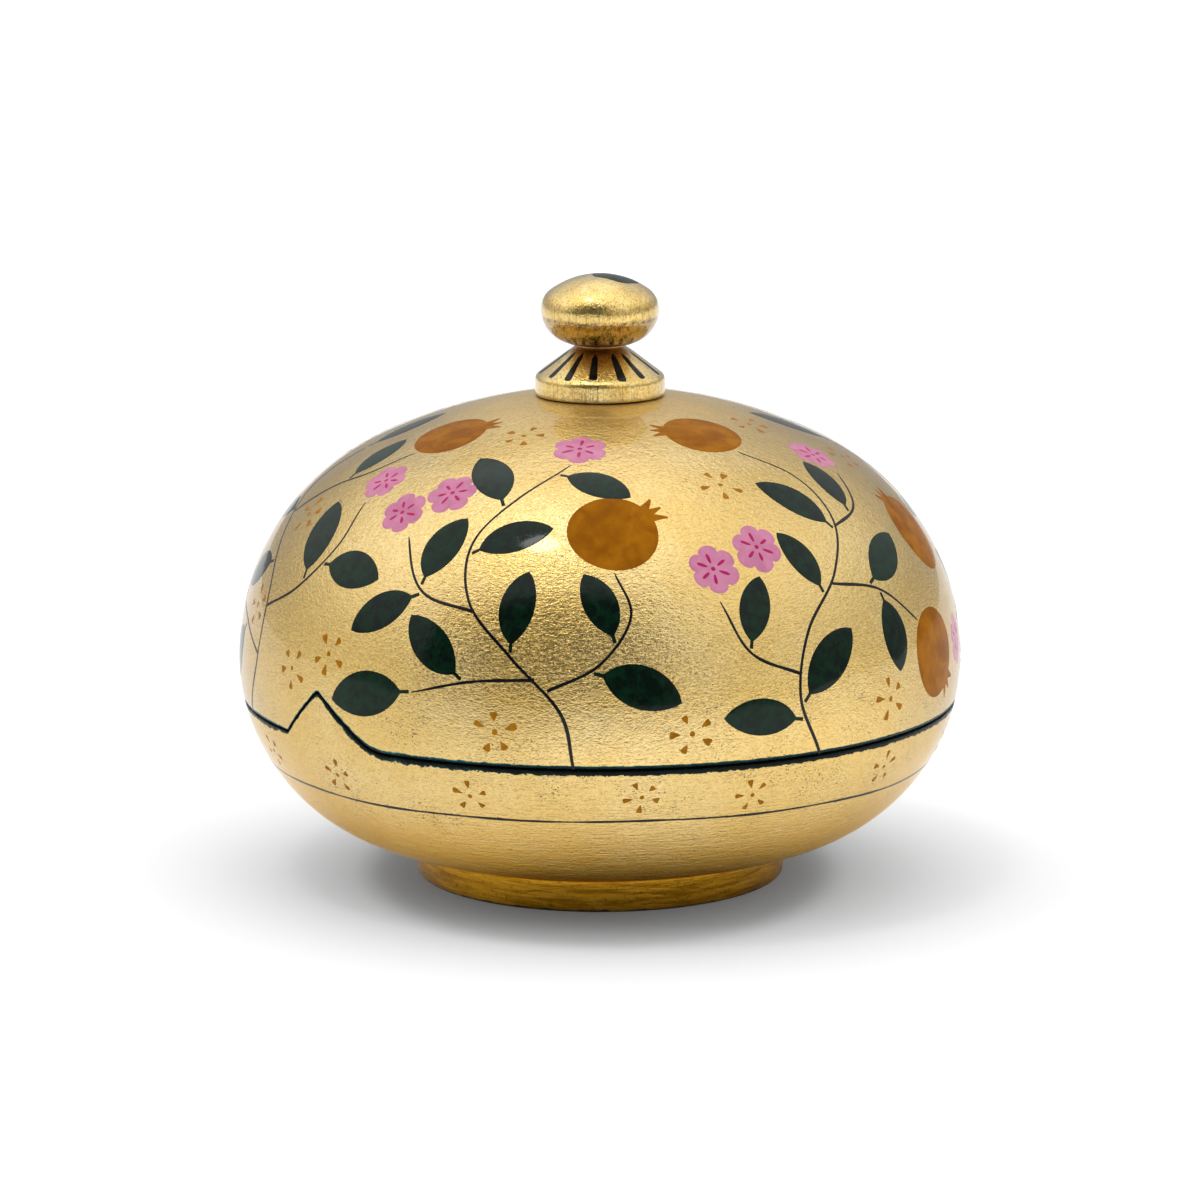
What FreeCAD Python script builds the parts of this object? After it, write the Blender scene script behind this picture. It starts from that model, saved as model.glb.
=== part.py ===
"""Lidded trinket box: a papier-mache shell sawn into bowl and lid, with a turned foot and a turned knob.

The closed shell is moulded in one piece and sawn apart a little below its widest line. The saw line is
level apart from one leaning tooth, which keys the lid to the bowl so that the painting always lines up.
A card collar glued inside the bowl guides the lid, and the lid lifts straight up and off.

Frame: millimetres, +Z up, origin on the table at the centre of the foot. The front is -Y.
"""
import FreeCAD, Part
import math
import os
import Sketcher

# Driving dimensions: alias, value, meaning. Lengths are millimetres, slopes and bearings are degrees.
SIZES = [
    ("body_radius", 70.0, "outer radius at the widest line"),
    ("dome_shoulder_radius", 46.0, "radius of the dome's shoulder arc"),
    ("crown_radius", 102.0, "radius of the flatter arc over the dome's crown"),
    ("bowl_shoulder_radius", 36.6, "radius of the bowl's shoulder arc"),
    ("underside_radius", 252.4, "radius of the flatter arc under the bowl"),
    ("wall_thickness", 3.4, "papier-mache wall"),
    ("parting_drop", 7.95, "bowl's level rim below the widest line"),
    ("rim_gap", 0.3, "lid's rim above the bowl's rim when closed"),
    ("rim_round", 0.5, "rounding of the sawn rims' outer edges"),
    ("tooth_bearing", 49.0, "tooth's tip, degrees round from the front towards -X"),
    ("tooth_height", 9.5, "tooth's tip above the level rim"),
    ("tooth_left_slope", 41.0, "slope of the tooth's left flank, degrees"),
    ("tooth_right_slope", 36.0, "slope of the tooth's right flank, degrees"),
    ("tooth_tip_round", 1.1, "rounding of the tooth's tip"),
    ("tooth_left_root_round", 1.2, "rounding where the left flank leaves the rim"),
    ("tooth_right_root_round", 9.0, "rounding where the right flank leaves the rim"),
    ("glue_line", 0.1, "glue between the pieces that are stuck together"),
    ("collar_thickness", 1.6, "card collar inside the bowl"),
    ("collar_rise", 7.0, "collar's lip above the bowl's rim"),
    ("collar_drop", 9.0, "collar's glued depth below the bowl's rim"),
    ("collar_clearance", 0.35, "running gap between the collar and the lid"),
    ("foot_lift", 4.0, "middle of the bowl's underside above the table"),
    ("foot_radius", 36.4, "foot ring's outer radius where it meets the bowl"),
    ("foot_taper", 0.8, "foot ring's flank leaning inwards down to the table"),
    ("foot_width", 7.4, "foot ring from its outer top edge in to its bore"),
    ("foot_round", 0.8, "rounding of the foot ring's outer edges"),
    ("tenon_radius", 4.0, "knob's tenon, glued through the crown"),
    ("knob_base_radius", 12.6, "knob's base on the crown"),
    ("knob_base_band", 3.0, "upright edge of the knob's base, above the crown"),
    ("knob_cone_height", 6.1, "knob's conical skirt, from the edge up to the neck"),
    ("knob_neck_radius", 4.4, "knob's neck before it is hollowed out round"),
    ("knob_bun_radius", 11.45, "knob's bun at its widest"),
    ("knob_bun_under_radius", 6.8, "arc of the bun's underside"),
    ("knob_bun_side_radius", 4.6, "arc of the bun's upper side"),
    ("knob_bun_top_radius", 16.5, "flatter arc over the bun's top"),
    ("knob_seat_round", 0.5, "rounding of the knob's lower edge, on the crown"),
    ("knob_skirt_round", 1.6, "rounding between the knob's upright edge and its skirt"),
    ("knob_neck_round", 0.6, "hollow of the knob's neck"),
    ("saw_overrun", 5.0, "how far a cutting outline runs past the work"),
]


def rise_expression(widest, shoulder, cap):
    """Rise from the widest line to the top of a shoulder arc that a flatter arc on the axis closes."""
    run = f"(sizes.{widest} - sizes.{shoulder})"
    return f"(sizes.{cap} - sqrt((sizes.{cap} - sizes.{shoulder})^2 - {run}^2))"


# Heights above the table that several pieces share, as expressions on the sheet's cells.
DOME_RISE = rise_expression("body_radius", "dome_shoulder_radius", "crown_radius")
BOWL_DEPTH = rise_expression("body_radius", "bowl_shoulder_radius", "underside_radius")
EQUATOR_HEIGHT = f"(sizes.foot_lift + {BOWL_DEPTH})"
CROWN_HEIGHT = f"({EQUATOR_HEIGHT} + {DOME_RISE})"
RIM_HEIGHT = f"({EQUATOR_HEIGHT} - sizes.parting_drop)"
# A sketch counts a line's or arc's points up from 1, and its own axes down from -1.
START, END, CENTRE = range(1, 4)
LEVEL_AXIS, UPRIGHT_AXIS = range(-1, -3, -1)
ORIGIN = (LEVEL_AXIS, START)


class Sizes:
    """The sheet's values as attributes, with the heights that several pieces share."""

    def __init__(self, sheet):
        for alias, _, _ in SIZES:
            setattr(self, alias, float(sheet.get(alias)))
        self.equator_height, self.crown_height = values(sheet, EQUATOR_HEIGHT, CROWN_HEIGHT)

    def shell_radius(self, height):
        """Outer radius of the shell between the underside's and the crown's arcs."""
        rise = height - self.equator_height
        shoulder = self.dome_shoulder_radius if rise > 0 else self.bowl_shoulder_radius
        return self.body_radius - shoulder + math.sqrt(max(shoulder**2 - rise**2, 0))


def make_sheet(doc):
    """Writes the driving dimensions to a spreadsheet, one aliased row each."""
    sheet = doc.addObject("Spreadsheet::Sheet", "sizes")
    for row, (alias, value, meaning) in enumerate(SIZES, start=1):
        sheet.set(f"A{row}", meaning)
        sheet.set(f"B{row}", str(value))
        sheet.setAlias(f"B{row}", alias)
    doc.recompute()
    return sheet


def new_sketch(body, name, role="XZ_Plane"):
    """A sketch on one of the body's own origin planes."""
    sketch = body.newObject("Sketcher::SketchObject", name)
    plane = next(item for item in body.Origin.OriginFeatures if item.Role == role)
    sketch.AttachmentSupport = [(plane, "")]
    sketch.MapMode = "FlatFace"
    return sketch


def line(start, end):
    return Part.LineSegment(FreeCAD.Vector(*start, 0), FreeCAD.Vector(*end, 0))


def arc(centre, radius, start_angle, end_angle):
    """An arc that turns anticlockwise from start_angle to end_angle, in radians."""
    circle = Part.Circle(FreeCAD.Vector(*centre, 0), FreeCAD.Vector(0, 0, 1), radius)
    return Part.ArcOfCircle(circle, start_angle, end_angle)


def polar(centre, radius, angle):
    return (centre[0] + radius * math.cos(angle), centre[1] + radius * math.sin(angle))


def values(item, *expressions):
    """What expressions on the sheet's cells come to, for a sketch's first geometry."""
    return [float(item.evalExpression(text)) for text in expressions]


def relate(sketch, kind, *where):
    """A constraint without a size."""
    sketch.addConstraint(Sketcher.Constraint(kind, *where))


def dimension(sketch, name, expression, kind, *where):
    """A named constraint whose size follows the sheet."""
    value = sketch.evalExpression(expression)
    if kind == "Angle":
        value = math.radians(value.Value)
    index = sketch.addConstraint(Sketcher.Constraint(kind, *where, value))
    sketch.renameConstraint(index, name)
    sketch.setExpression(f"Constraints.{name}", expression)


def height(sketch, name, expression, geometry, point):
    dimension(sketch, name, expression, "DistanceY", *ORIGIN, geometry, point)


def reach(sketch, name, expression, geometry, point):
    dimension(sketch, name, expression, "DistanceX", *ORIGIN, geometry, point)


def join(sketch, pairs, kind="Coincident"):
    """Joins the end points of neighbouring lines and arcs."""
    for first, first_point, second, second_point in pairs:
        relate(sketch, kind, first, first_point, second, second_point)


def revolve(body, sketch, name):
    turned = body.newObject("PartDesign::Revolution", name)
    turned.Profile = sketch
    turned.ReferenceAxis = (sketch, ["V_Axis"])
    turned.Angle = 360
    return turned


def cut_through(body, sketch, name, forwards):
    """A pocket through everything on one side of the sketch's plane."""
    before = body.Shape.Volume
    pocket = body.newObject("PartDesign::Pocket", name)
    pocket.Profile = sketch
    pocket.Type = "ThroughAll"
    pocket.Reversed = forwards
    body.Document.recompute()
    if body.Shape.Volume >= before:
        raise RuntimeError(f"{name} cut nothing")
    return pocket


def round_edges(body, base, name, size_alias, wanted):
    """A fillet on the edges of base that wanted(edge) picks."""
    names = [f"Edge{i}" for i, edge in enumerate(base.Shape.Edges, start=1) if wanted(edge)]
    if not names:
        raise RuntimeError(f"{name} found no edge")
    fillet = body.newObject("PartDesign::Fillet", name)
    fillet.Base = (base, names)
    fillet.setExpression("Radius", f"sizes.{size_alias}")
    body.Document.recompute()
    return fillet


def middle(edge):
    return edge.valueAt((edge.FirstParameter + edge.LastParameter) / 2)


def from_axis(point):
    return math.hypot(point.x, point.y)


def shell_section(body, size):
    """Section of the closed shell: underside, two shoulder and crown arcs, outside and inside."""
    sketch = new_sketch(body, f"{body.Name}_section")
    half = math.pi / 2
    bowl_centre = (size.body_radius - size.bowl_shoulder_radius, size.equator_height)
    dome_centre = (size.body_radius - size.dome_shoulder_radius, size.equator_height)
    underside_centre = (0, size.foot_lift + size.underside_radius)
    crown_centre = (0, size.crown_height - size.crown_radius)
    low = math.atan2(bowl_centre[1] - underside_centre[1], bowl_centre[0])
    high = math.atan2(dome_centre[1] - crown_centre[1], dome_centre[0])
    arcs = [
        (underside_centre, size.underside_radius, -half, low),
        (bowl_centre, size.bowl_shoulder_radius, low, 0),
        (dome_centre, size.dome_shoulder_radius, 0, high),
        (crown_centre, size.crown_radius, high, half),
    ]
    outer_skin, inner_skin = (
        [sketch.addGeometry(arc(centre, radius - inset, *span)) for centre, radius, *span in arcs]
        for inset in (0, size.wall_thickness)
    )
    outer_underside, outer_bowl, outer_dome, outer_crown = outer_skin
    inner_underside, inner_crown = inner_skin[0], inner_skin[-1]
    crown_inside = (0, size.crown_height - size.wall_thickness)
    underside_inside = (0, size.foot_lift + size.wall_thickness)
    crown_wall = sketch.addGeometry(line((0, size.crown_height), crown_inside))
    underside_wall = sketch.addGeometry(line(underside_inside, (0, size.foot_lift)))

    for skin in (outer_skin, inner_skin):
        join(sketch, [(below, END, above, START) for below, above in zip(skin, skin[1:])], "Tangent")
    join(sketch, [(outer, CENTRE, inner, CENTRE) for outer, inner in zip(outer_skin, inner_skin)])
    join(
        sketch,
        [
            (crown_wall, START, outer_crown, END),
            (crown_wall, END, inner_crown, END),
            (underside_wall, START, inner_underside, START),
            (underside_wall, END, outer_underside, START),
        ],
    )
    for geometry, point in (
        (outer_underside, START),
        (outer_underside, CENTRE),
        (outer_crown, END),
        (outer_crown, CENTRE),
        (inner_underside, START),
        (inner_crown, END),
    ):
        relate(sketch, "PointOnObject", geometry, point, UPRIGHT_AXIS)
    relate(sketch, "Horizontal", outer_bowl, CENTRE, outer_dome, CENTRE)
    reach(sketch, "widest", "sizes.body_radius", outer_bowl, END)
    height(sketch, "underside_height", "sizes.foot_lift", outer_underside, START)
    dimension(sketch, "underside", "sizes.underside_radius", "Radius", outer_underside)
    dimension(sketch, "bowl_shoulder", "sizes.bowl_shoulder_radius", "Radius", outer_bowl)
    dimension(sketch, "dome_shoulder", "sizes.dome_shoulder_radius", "Radius", outer_dome)
    dimension(sketch, "crown", "sizes.crown_radius", "Radius", outer_crown)
    dimension(sketch, "wall", "sizes.wall_thickness", "Distance", underside_wall)
    return sketch


def saw_line(body, size, name, rim, closing, with_tooth):
    """Outline from the saw line, whose level run is at the expression rim, to a level edge at closing."""
    sketch = new_sketch(body, name)
    level, far = values(sketch, rim, closing)
    side = size.body_radius + size.saw_overrun
    side_reach = "sizes.body_radius + sizes.saw_overrun"
    if with_tooth:
        first, last = add_tooth(sketch, size, level, side, rim)
    else:
        first = last = sketch.addGeometry(line((-side, level), (side, level)))
    right = sketch.addGeometry(line((side, level), (side, far)))
    edge = sketch.addGeometry(line((side, far), (-side, far)))
    left = sketch.addGeometry(line((-side, far), (-side, level)))
    join(sketch, [(last, END, right, START), (right, END, edge, START)])
    join(sketch, [(edge, END, left, START), (left, END, first, START)])
    relate(sketch, "Horizontal", first)
    if with_tooth:
        relate(sketch, "Horizontal", last)
        height(sketch, "right_rim", rim, last, END)
    relate(sketch, "Vertical", right)
    relate(sketch, "Vertical", left)
    relate(sketch, "Horizontal", edge)
    height(sketch, "rim", rim, first, START)
    height(sketch, "closing_edge", closing, edge, START)
    reach(sketch, "right_side", side_reach, last, END)
    dimension(sketch, "left_side", side_reach, "DistanceX", first, START, *ORIGIN)
    return sketch


def add_tooth(sketch, size, level, side, rim):
    """The level run with the leaning tooth in it: flanks, rounded tip and rounded roots, all tangent."""
    rise_angle = math.radians(size.tooth_left_slope)
    fall_angle = math.radians(size.tooth_right_slope)
    half = math.pi / 2
    tip_round = size.tooth_tip_round
    left_round = size.tooth_left_root_round
    right_round = size.tooth_right_root_round
    tip_centre = (0, level + size.tooth_height - tip_round)
    tip_left = polar(tip_centre, tip_round, half + rise_angle)
    tip_right = polar(tip_centre, tip_round, half - fall_angle)
    left_low = level + left_round * (1 - math.cos(rise_angle))
    right_low = level + right_round * (1 - math.cos(fall_angle))
    left_flank_low = (tip_left[0] - (tip_left[1] - left_low) / math.tan(rise_angle), left_low)
    right_flank_low = (tip_right[0] + (tip_right[1] - right_low) / math.tan(fall_angle), right_low)
    left_centre = (left_flank_low[0] - left_round * math.sin(rise_angle), level + left_round)
    right_centre = (right_flank_low[0] + right_round * math.sin(fall_angle), level + right_round)

    left_run = sketch.addGeometry(line((-side, level), (left_centre[0], level)))
    left_root = sketch.addGeometry(arc(left_centre, left_round, -half, -half + rise_angle))
    left_flank = sketch.addGeometry(line(left_flank_low, tip_left))
    tip = sketch.addGeometry(arc(tip_centre, tip_round, half - fall_angle, half + rise_angle))
    right_flank = sketch.addGeometry(line(tip_right, right_flank_low))
    right_root = sketch.addGeometry(arc(right_centre, right_round, -half - fall_angle, -half))
    right_run = sketch.addGeometry(line((right_centre[0], level), (side, level)))
    join(
        sketch,
        [
            (left_run, END, left_root, START),
            (left_root, END, left_flank, START),
            (left_flank, END, tip, END),
            (tip, START, right_flank, START),
            (right_flank, END, right_root, START),
            (right_root, END, right_run, START),
        ],
        "Tangent",
    )
    dimension(sketch, "tip_round", "sizes.tooth_tip_round", "Radius", tip)
    dimension(sketch, "left_root", "sizes.tooth_left_root_round", "Radius", left_root)
    dimension(sketch, "right_root", "sizes.tooth_right_root_round", "Radius", right_root)
    dimension(sketch, "left_slope", "sizes.tooth_left_slope * 1 deg", "Angle", left_flank)
    dimension(sketch, "right_slope", "-sizes.tooth_right_slope * 1 deg", "Angle", right_flank)
    relate(sketch, "PointOnObject", tip, CENTRE, UPRIGHT_AXIS)
    height(sketch, "tip_height", f"{rim} + sizes.tooth_height - sizes.tooth_tip_round", tip, CENTRE)
    return left_run, right_run


def sawn_shell(doc, name, size, rim, closing):
    """The moulded shell without what lies between the saw line and the closing height, its rim eased."""
    body = doc.addObject("PartDesign::Body", name)
    revolve(body, shell_section(body, size), f"{name}_shell")
    doc.recompute()
    toothed = saw_line(body, size, f"{name}_toothed_saw_line", rim, closing, True)
    cut_through(body, toothed, f"{name}_front_cut", True)
    plain = saw_line(body, size, f"{name}_plain_saw_line", rim, closing, False)
    cut = cut_through(body, plain, f"{name}_back_cut", False)
    sawn = (Part.Plane, Part.Cylinder)

    def on_outer_rim(edge):
        faces = cut.Shape.ancestorsOfType(edge, Part.Face)
        on_saw_line = sum(isinstance(face.Surface, sawn) for face in faces) == 1
        point = middle(edge)
        return on_saw_line and from_axis(point) > size.shell_radius(point.z) - size.wall_thickness / 2

    round_edges(body, cut, f"{name}_rim_round", "rim_round", on_outer_rim)
    body.setExpression("Placement.Rotation.Angle", "-sizes.tooth_bearing * 1 deg")
    return body


def make_base_bowl(doc, size):
    """Bowl: the shell below the saw line, with the tooth standing on its rim."""
    closing = f"{CROWN_HEIGHT} + sizes.saw_overrun"
    return sawn_shell(doc, "base_bowl", size, RIM_HEIGHT, closing)


def make_lid_shell(doc, size):
    """Lid: the shell above the saw line, notched for the tooth and bored for the knob's tenon."""
    closing = "sizes.foot_lift - sizes.saw_overrun"
    body = sawn_shell(doc, "lid_shell", size, f"{RIM_HEIGHT} + sizes.rim_gap", closing)
    sketch = new_sketch(body, "lid_shell_tenon_hole", "XY_Plane")
    radius = size.tenon_radius + size.glue_line
    hole = sketch.addGeometry(Part.Circle(FreeCAD.Vector(), FreeCAD.Vector(0, 0, 1), radius))
    relate(sketch, "Coincident", hole, CENTRE, *ORIGIN)
    dimension(sketch, "tenon_hole", "sizes.tenon_radius + sizes.glue_line", "Radius", hole)
    cut_through(body, sketch, "lid_shell_bore", True)
    return body


def make_inner_collar(doc, size):
    """Card collar: it follows the bowl's inner wall up to the rim, then stands upright to a rounded lip."""
    body = doc.addObject("PartDesign::Body", "inner_collar")
    sketch = new_sketch(body, "inner_collar_section")
    wall_arc = "(sizes.bowl_shoulder_radius - sizes.wall_thickness - sizes.glue_line)"
    lid_rim_drop = "(sizes.parting_drop - sizes.rim_gap)"
    lid_bore = f"sqrt((sizes.bowl_shoulder_radius - sizes.wall_thickness)^2 - {lid_rim_drop}^2)"
    outside = f"sizes.body_radius - sizes.bowl_shoulder_radius + {lid_bore} - sizes.collar_clearance"
    inside = f"{outside} - sizes.collar_thickness"
    lip_height = f"{RIM_HEIGHT} + sizes.collar_rise - sizes.collar_thickness / 2"
    hem_height = f"{RIM_HEIGHT} - sizes.collar_drop"
    outer, inner, radius = values(sketch, outside, inside, wall_arc)
    lip, hem = values(sketch, lip_height, hem_height)
    centre = (size.body_radius - size.bowl_shoulder_radius, size.equator_height)

    def angle_at_height(arc_radius, level):
        return math.asin((level - centre[1]) / arc_radius)

    def angle_at_reach(arc_radius, distance):
        return -math.acos(min((distance - centre[0]) / arc_radius, 1))

    inner_radius = radius - size.collar_thickness
    outer_span = angle_at_height(radius, hem), angle_at_reach(radius, outer)
    inner_span = angle_at_height(inner_radius, hem), angle_at_reach(inner_radius, inner)
    outer_low, outer_high = (polar(centre, radius, angle) for angle in outer_span)
    inner_low, inner_high = (polar(centre, inner_radius, angle) for angle in inner_span)
    outer_arc = sketch.addGeometry(arc(centre, radius, *outer_span))
    inner_arc = sketch.addGeometry(arc(centre, inner_radius, *inner_span))
    outer_wall = sketch.addGeometry(line(outer_high, (outer, lip)))
    lip_arc = sketch.addGeometry(arc(((outer + inner) / 2, lip), size.collar_thickness / 2, 0, math.pi))
    inner_wall = sketch.addGeometry(line((inner, lip), inner_high))
    hem_line = sketch.addGeometry(line(inner_low, outer_low))
    join(sketch, [(outer_wall, END, lip_arc, START), (lip_arc, END, inner_wall, START)], "Tangent")
    join(sketch, [(outer_arc, END, outer_wall, START), (inner_wall, END, inner_arc, END)])
    join(sketch, [(inner_arc, START, hem_line, START), (hem_line, END, outer_arc, START)])
    join(sketch, [(outer_arc, CENTRE, inner_arc, CENTRE)])
    relate(sketch, "Vertical", outer_wall)
    relate(sketch, "Horizontal", hem_line)
    height(sketch, "arc_height", EQUATOR_HEIGHT, outer_arc, CENTRE)
    reach(sketch, "arc_reach", "sizes.body_radius - sizes.bowl_shoulder_radius", outer_arc, CENTRE)
    dimension(sketch, "glued_face", wall_arc, "Radius", outer_arc)
    dimension(sketch, "inner_face", f"{wall_arc} - sizes.collar_thickness", "Radius", inner_arc)
    reach(sketch, "outside", outside, outer_wall, END)
    dimension(sketch, "lip_round", "sizes.collar_thickness / 2", "Radius", lip_arc)
    height(sketch, "lip", lip_height, lip_arc, CENTRE)
    height(sketch, "hem", hem_height, hem_line, START)
    revolve(body, sketch, "inner_collar_ring")
    return body


def make_foot_ring(doc, size):
    """Turned foot ring: its top is dished to the bowl's underside and its outer edges are eased."""
    body = doc.addObject("PartDesign::Body", "foot_ring")
    sketch = new_sketch(body, "foot_ring_section")
    centre = (0, size.foot_lift + size.underside_radius)
    radius = size.underside_radius + size.glue_line
    bore_reach = "sizes.foot_radius - sizes.foot_width"
    base_reach = "sizes.foot_radius - sizes.foot_taper"
    inside, outside = values(sketch, bore_reach, base_reach)
    inner_angle = -math.acos(inside / radius)
    outer_angle = -math.acos(size.foot_radius / radius)
    seat_inner = polar(centre, radius, inner_angle)
    seat_outer = polar(centre, radius, outer_angle)
    seat = sketch.addGeometry(arc(centre, radius, inner_angle, outer_angle))
    bore = sketch.addGeometry(line((inside, 0), seat_inner))
    sole = sketch.addGeometry(line((outside, 0), (inside, 0)))
    flank = sketch.addGeometry(line(seat_outer, (outside, 0)))
    join(sketch, [(bore, END, seat, START), (seat, END, flank, START)])
    join(sketch, [(flank, END, sole, START), (sole, END, bore, START)])
    relate(sketch, "PointOnObject", seat, CENTRE, UPRIGHT_AXIS)
    relate(sketch, "PointOnObject", sole, START, LEVEL_AXIS)
    relate(sketch, "Vertical", bore)
    relate(sketch, "Horizontal", sole)
    height(sketch, "seat_centre", "sizes.foot_lift + sizes.underside_radius", seat, CENTRE)
    dimension(sketch, "seat", "sizes.underside_radius + sizes.glue_line", "Radius", seat)
    reach(sketch, "bore", bore_reach, bore, START)
    reach(sketch, "top", "sizes.foot_radius", flank, START)
    reach(sketch, "base", base_reach, flank, END)
    ring = revolve(body, sketch, "foot_ring_blank")
    doc.recompute()

    def on_outer_corner(edge):
        level = abs(edge.BoundBox.ZLength) < size.glue_line
        return level and from_axis(middle(edge)) > (inside + outside) / 2

    round_edges(body, ring, "foot_ring_edges", "foot_round", on_outer_corner)
    return body


def make_lid_knob(doc, size):
    """Turned knob in one piece: tenon, dished base, upright edge, conical skirt, neck and flattened bun."""
    body = doc.addObject("PartDesign::Body", "lid_knob")
    sketch = new_sketch(body, "lid_knob_section")
    skirt_low = f"{CROWN_HEIGHT} + sizes.knob_base_band"
    neck_height = f"{skirt_low} + sizes.knob_cone_height"
    neck_reach = "(sizes.knob_neck_radius - sizes.knob_bun_radius + sizes.knob_bun_under_radius)"
    bun_lift = f"sqrt(sizes.knob_bun_under_radius^2 - {neck_reach}^2)"
    bun_height = f"{neck_height} + {bun_lift}"
    bun_rise = rise_expression("knob_bun_radius", "knob_bun_side_radius", "knob_bun_top_radius")
    tenon_end = f"{CROWN_HEIGHT} - sizes.wall_thickness"
    low, neck, bun, end = values(sketch, skirt_low, neck_height, bun_height, tenon_end)
    (bun_top,) = values(sketch, f"{bun_height} + {bun_rise}")
    half = math.pi / 2
    seat_centre = (0, size.crown_height - size.crown_radius)
    seat_radius = size.crown_radius + size.glue_line
    seat_outer = math.acos(size.knob_base_radius / seat_radius)
    seat_inner = math.acos(size.tenon_radius / seat_radius)
    under_centre = (size.knob_bun_radius - size.knob_bun_under_radius, bun)
    side_centre = (size.knob_bun_radius - size.knob_bun_side_radius, bun)
    top_centre = (0, bun_top - size.knob_bun_top_radius)
    under_start = math.atan2(neck - bun, size.knob_neck_radius - under_centre[0])
    side_end = math.atan2(side_centre[1] - top_centre[1], side_centre[0])

    band_low = polar(seat_centre, seat_radius, seat_outer)
    seat = sketch.addGeometry(arc(seat_centre, seat_radius, seat_outer, seat_inner))
    band = sketch.addGeometry(line(band_low, (size.knob_base_radius, low)))
    skirt = sketch.addGeometry(line((size.knob_base_radius, low), (size.knob_neck_radius, neck)))
    under = sketch.addGeometry(arc(under_centre, size.knob_bun_under_radius, under_start, 0))
    side = sketch.addGeometry(arc(side_centre, size.knob_bun_side_radius, 0, side_end))
    top = sketch.addGeometry(arc(top_centre, size.knob_bun_top_radius, side_end, half))
    axis = sketch.addGeometry(line((0, bun_top), (0, end)))
    tenon_face = sketch.addGeometry(line((0, end), (size.tenon_radius, end)))
    tenon = sketch.addGeometry(line((size.tenon_radius, end), polar(seat_centre, seat_radius, seat_inner)))
    join(sketch, [(under, END, side, START), (side, END, top, START)], "Tangent")
    join(
        sketch,
        [
            (seat, START, band, START),
            (band, END, skirt, START),
            (skirt, END, under, START),
            (top, END, axis, START),
            (axis, END, tenon_face, START),
            (tenon_face, END, tenon, START),
            (tenon, END, seat, END),
        ],
    )
    relate(sketch, "Vertical", band)
    relate(sketch, "Vertical", tenon)
    relate(sketch, "Horizontal", tenon_face)
    for geometry, point in ((seat, CENTRE), (top, CENTRE), (axis, START), (axis, END)):
        relate(sketch, "PointOnObject", geometry, point, UPRIGHT_AXIS)
    height(sketch, "seat_centre", f"{CROWN_HEIGHT} - sizes.crown_radius", seat, CENTRE)
    dimension(sketch, "seat", "sizes.crown_radius + sizes.glue_line", "Radius", seat)
    reach(sketch, "base", "sizes.knob_base_radius", band, END)
    height(sketch, "skirt_low", skirt_low, band, END)
    reach(sketch, "neck", "sizes.knob_neck_radius", skirt, END)
    height(sketch, "neck_height", neck_height, skirt, END)
    dimension(sketch, "bun_under", "sizes.knob_bun_under_radius", "Radius", under)
    dimension(sketch, "bun_side", "sizes.knob_bun_side_radius", "Radius", side)
    relate(sketch, "Horizontal", under, CENTRE, side, CENTRE)
    reach(sketch, "bun", "sizes.knob_bun_radius", under, END)
    dimension(sketch, "bun_top", "sizes.knob_bun_top_radius", "Radius", top)
    reach(sketch, "tenon", "sizes.tenon_radius", tenon, START)
    height(sketch, "tenon_end", tenon_end, tenon, START)
    blank = revolve(body, sketch, "lid_knob_blank")
    doc.recompute()

    def circle_at(distance):
        def test(edge):
            level = abs(edge.BoundBox.ZLength) < size.glue_line
            return level and abs(from_axis(middle(edge)) - distance) < size.glue_line
        return test

    on_base = circle_at(size.knob_base_radius)
    on_neck = circle_at(size.knob_neck_radius)

    def on_skirt(edge):
        return on_base(edge) and middle(edge).z > size.crown_height

    def on_seat(edge):
        return on_base(edge) and not on_skirt(edge)

    seated = round_edges(body, blank, "lid_knob_seat_edge", "knob_seat_round", on_seat)
    eased = round_edges(body, seated, "lid_knob_skirt_edge", "knob_skirt_round", on_skirt)
    round_edges(body, eased, "lid_knob_neck", "knob_neck_round", on_neck)
    return body


def check(doc, pieces):
    """Stops before anything is written if an object failed or a piece isn't one sound solid."""
    for item in doc.Objects:
        if "Invalid" in item.State or "Error" in item.State:
            raise RuntimeError(f"{item.Name} failed: {item.State}")
    for piece in pieces:
        shape = piece.Shape
        if shape.isNull() or not shape.isValid() or len(shape.Solids) != 1:
            raise RuntimeError(f"{piece.Label} is not one valid solid")
        print(f"{piece.Label}: {shape.Volume / 1000:.2f} cm3, {len(shape.Faces)} faces")


def main():
    doc = FreeCAD.newDocument("trinket_box")
    size = Sizes(make_sheet(doc))
    makers = (make_base_bowl, make_inner_collar, make_foot_ring, make_lid_shell, make_lid_knob)
    pieces = [make(doc, size) for make in makers]
    doc.recompute()
    check(doc, pieces)
    os.makedirs("parts", exist_ok=True)
    for piece in pieces:
        piece.Shape.exportStep(f"parts/{piece.Label}.step")


main()
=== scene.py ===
"""Looks of the gilded and painted trinket box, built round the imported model. Lengths are millimetres."""
import math
import random
from functools import partialmethod

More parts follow.
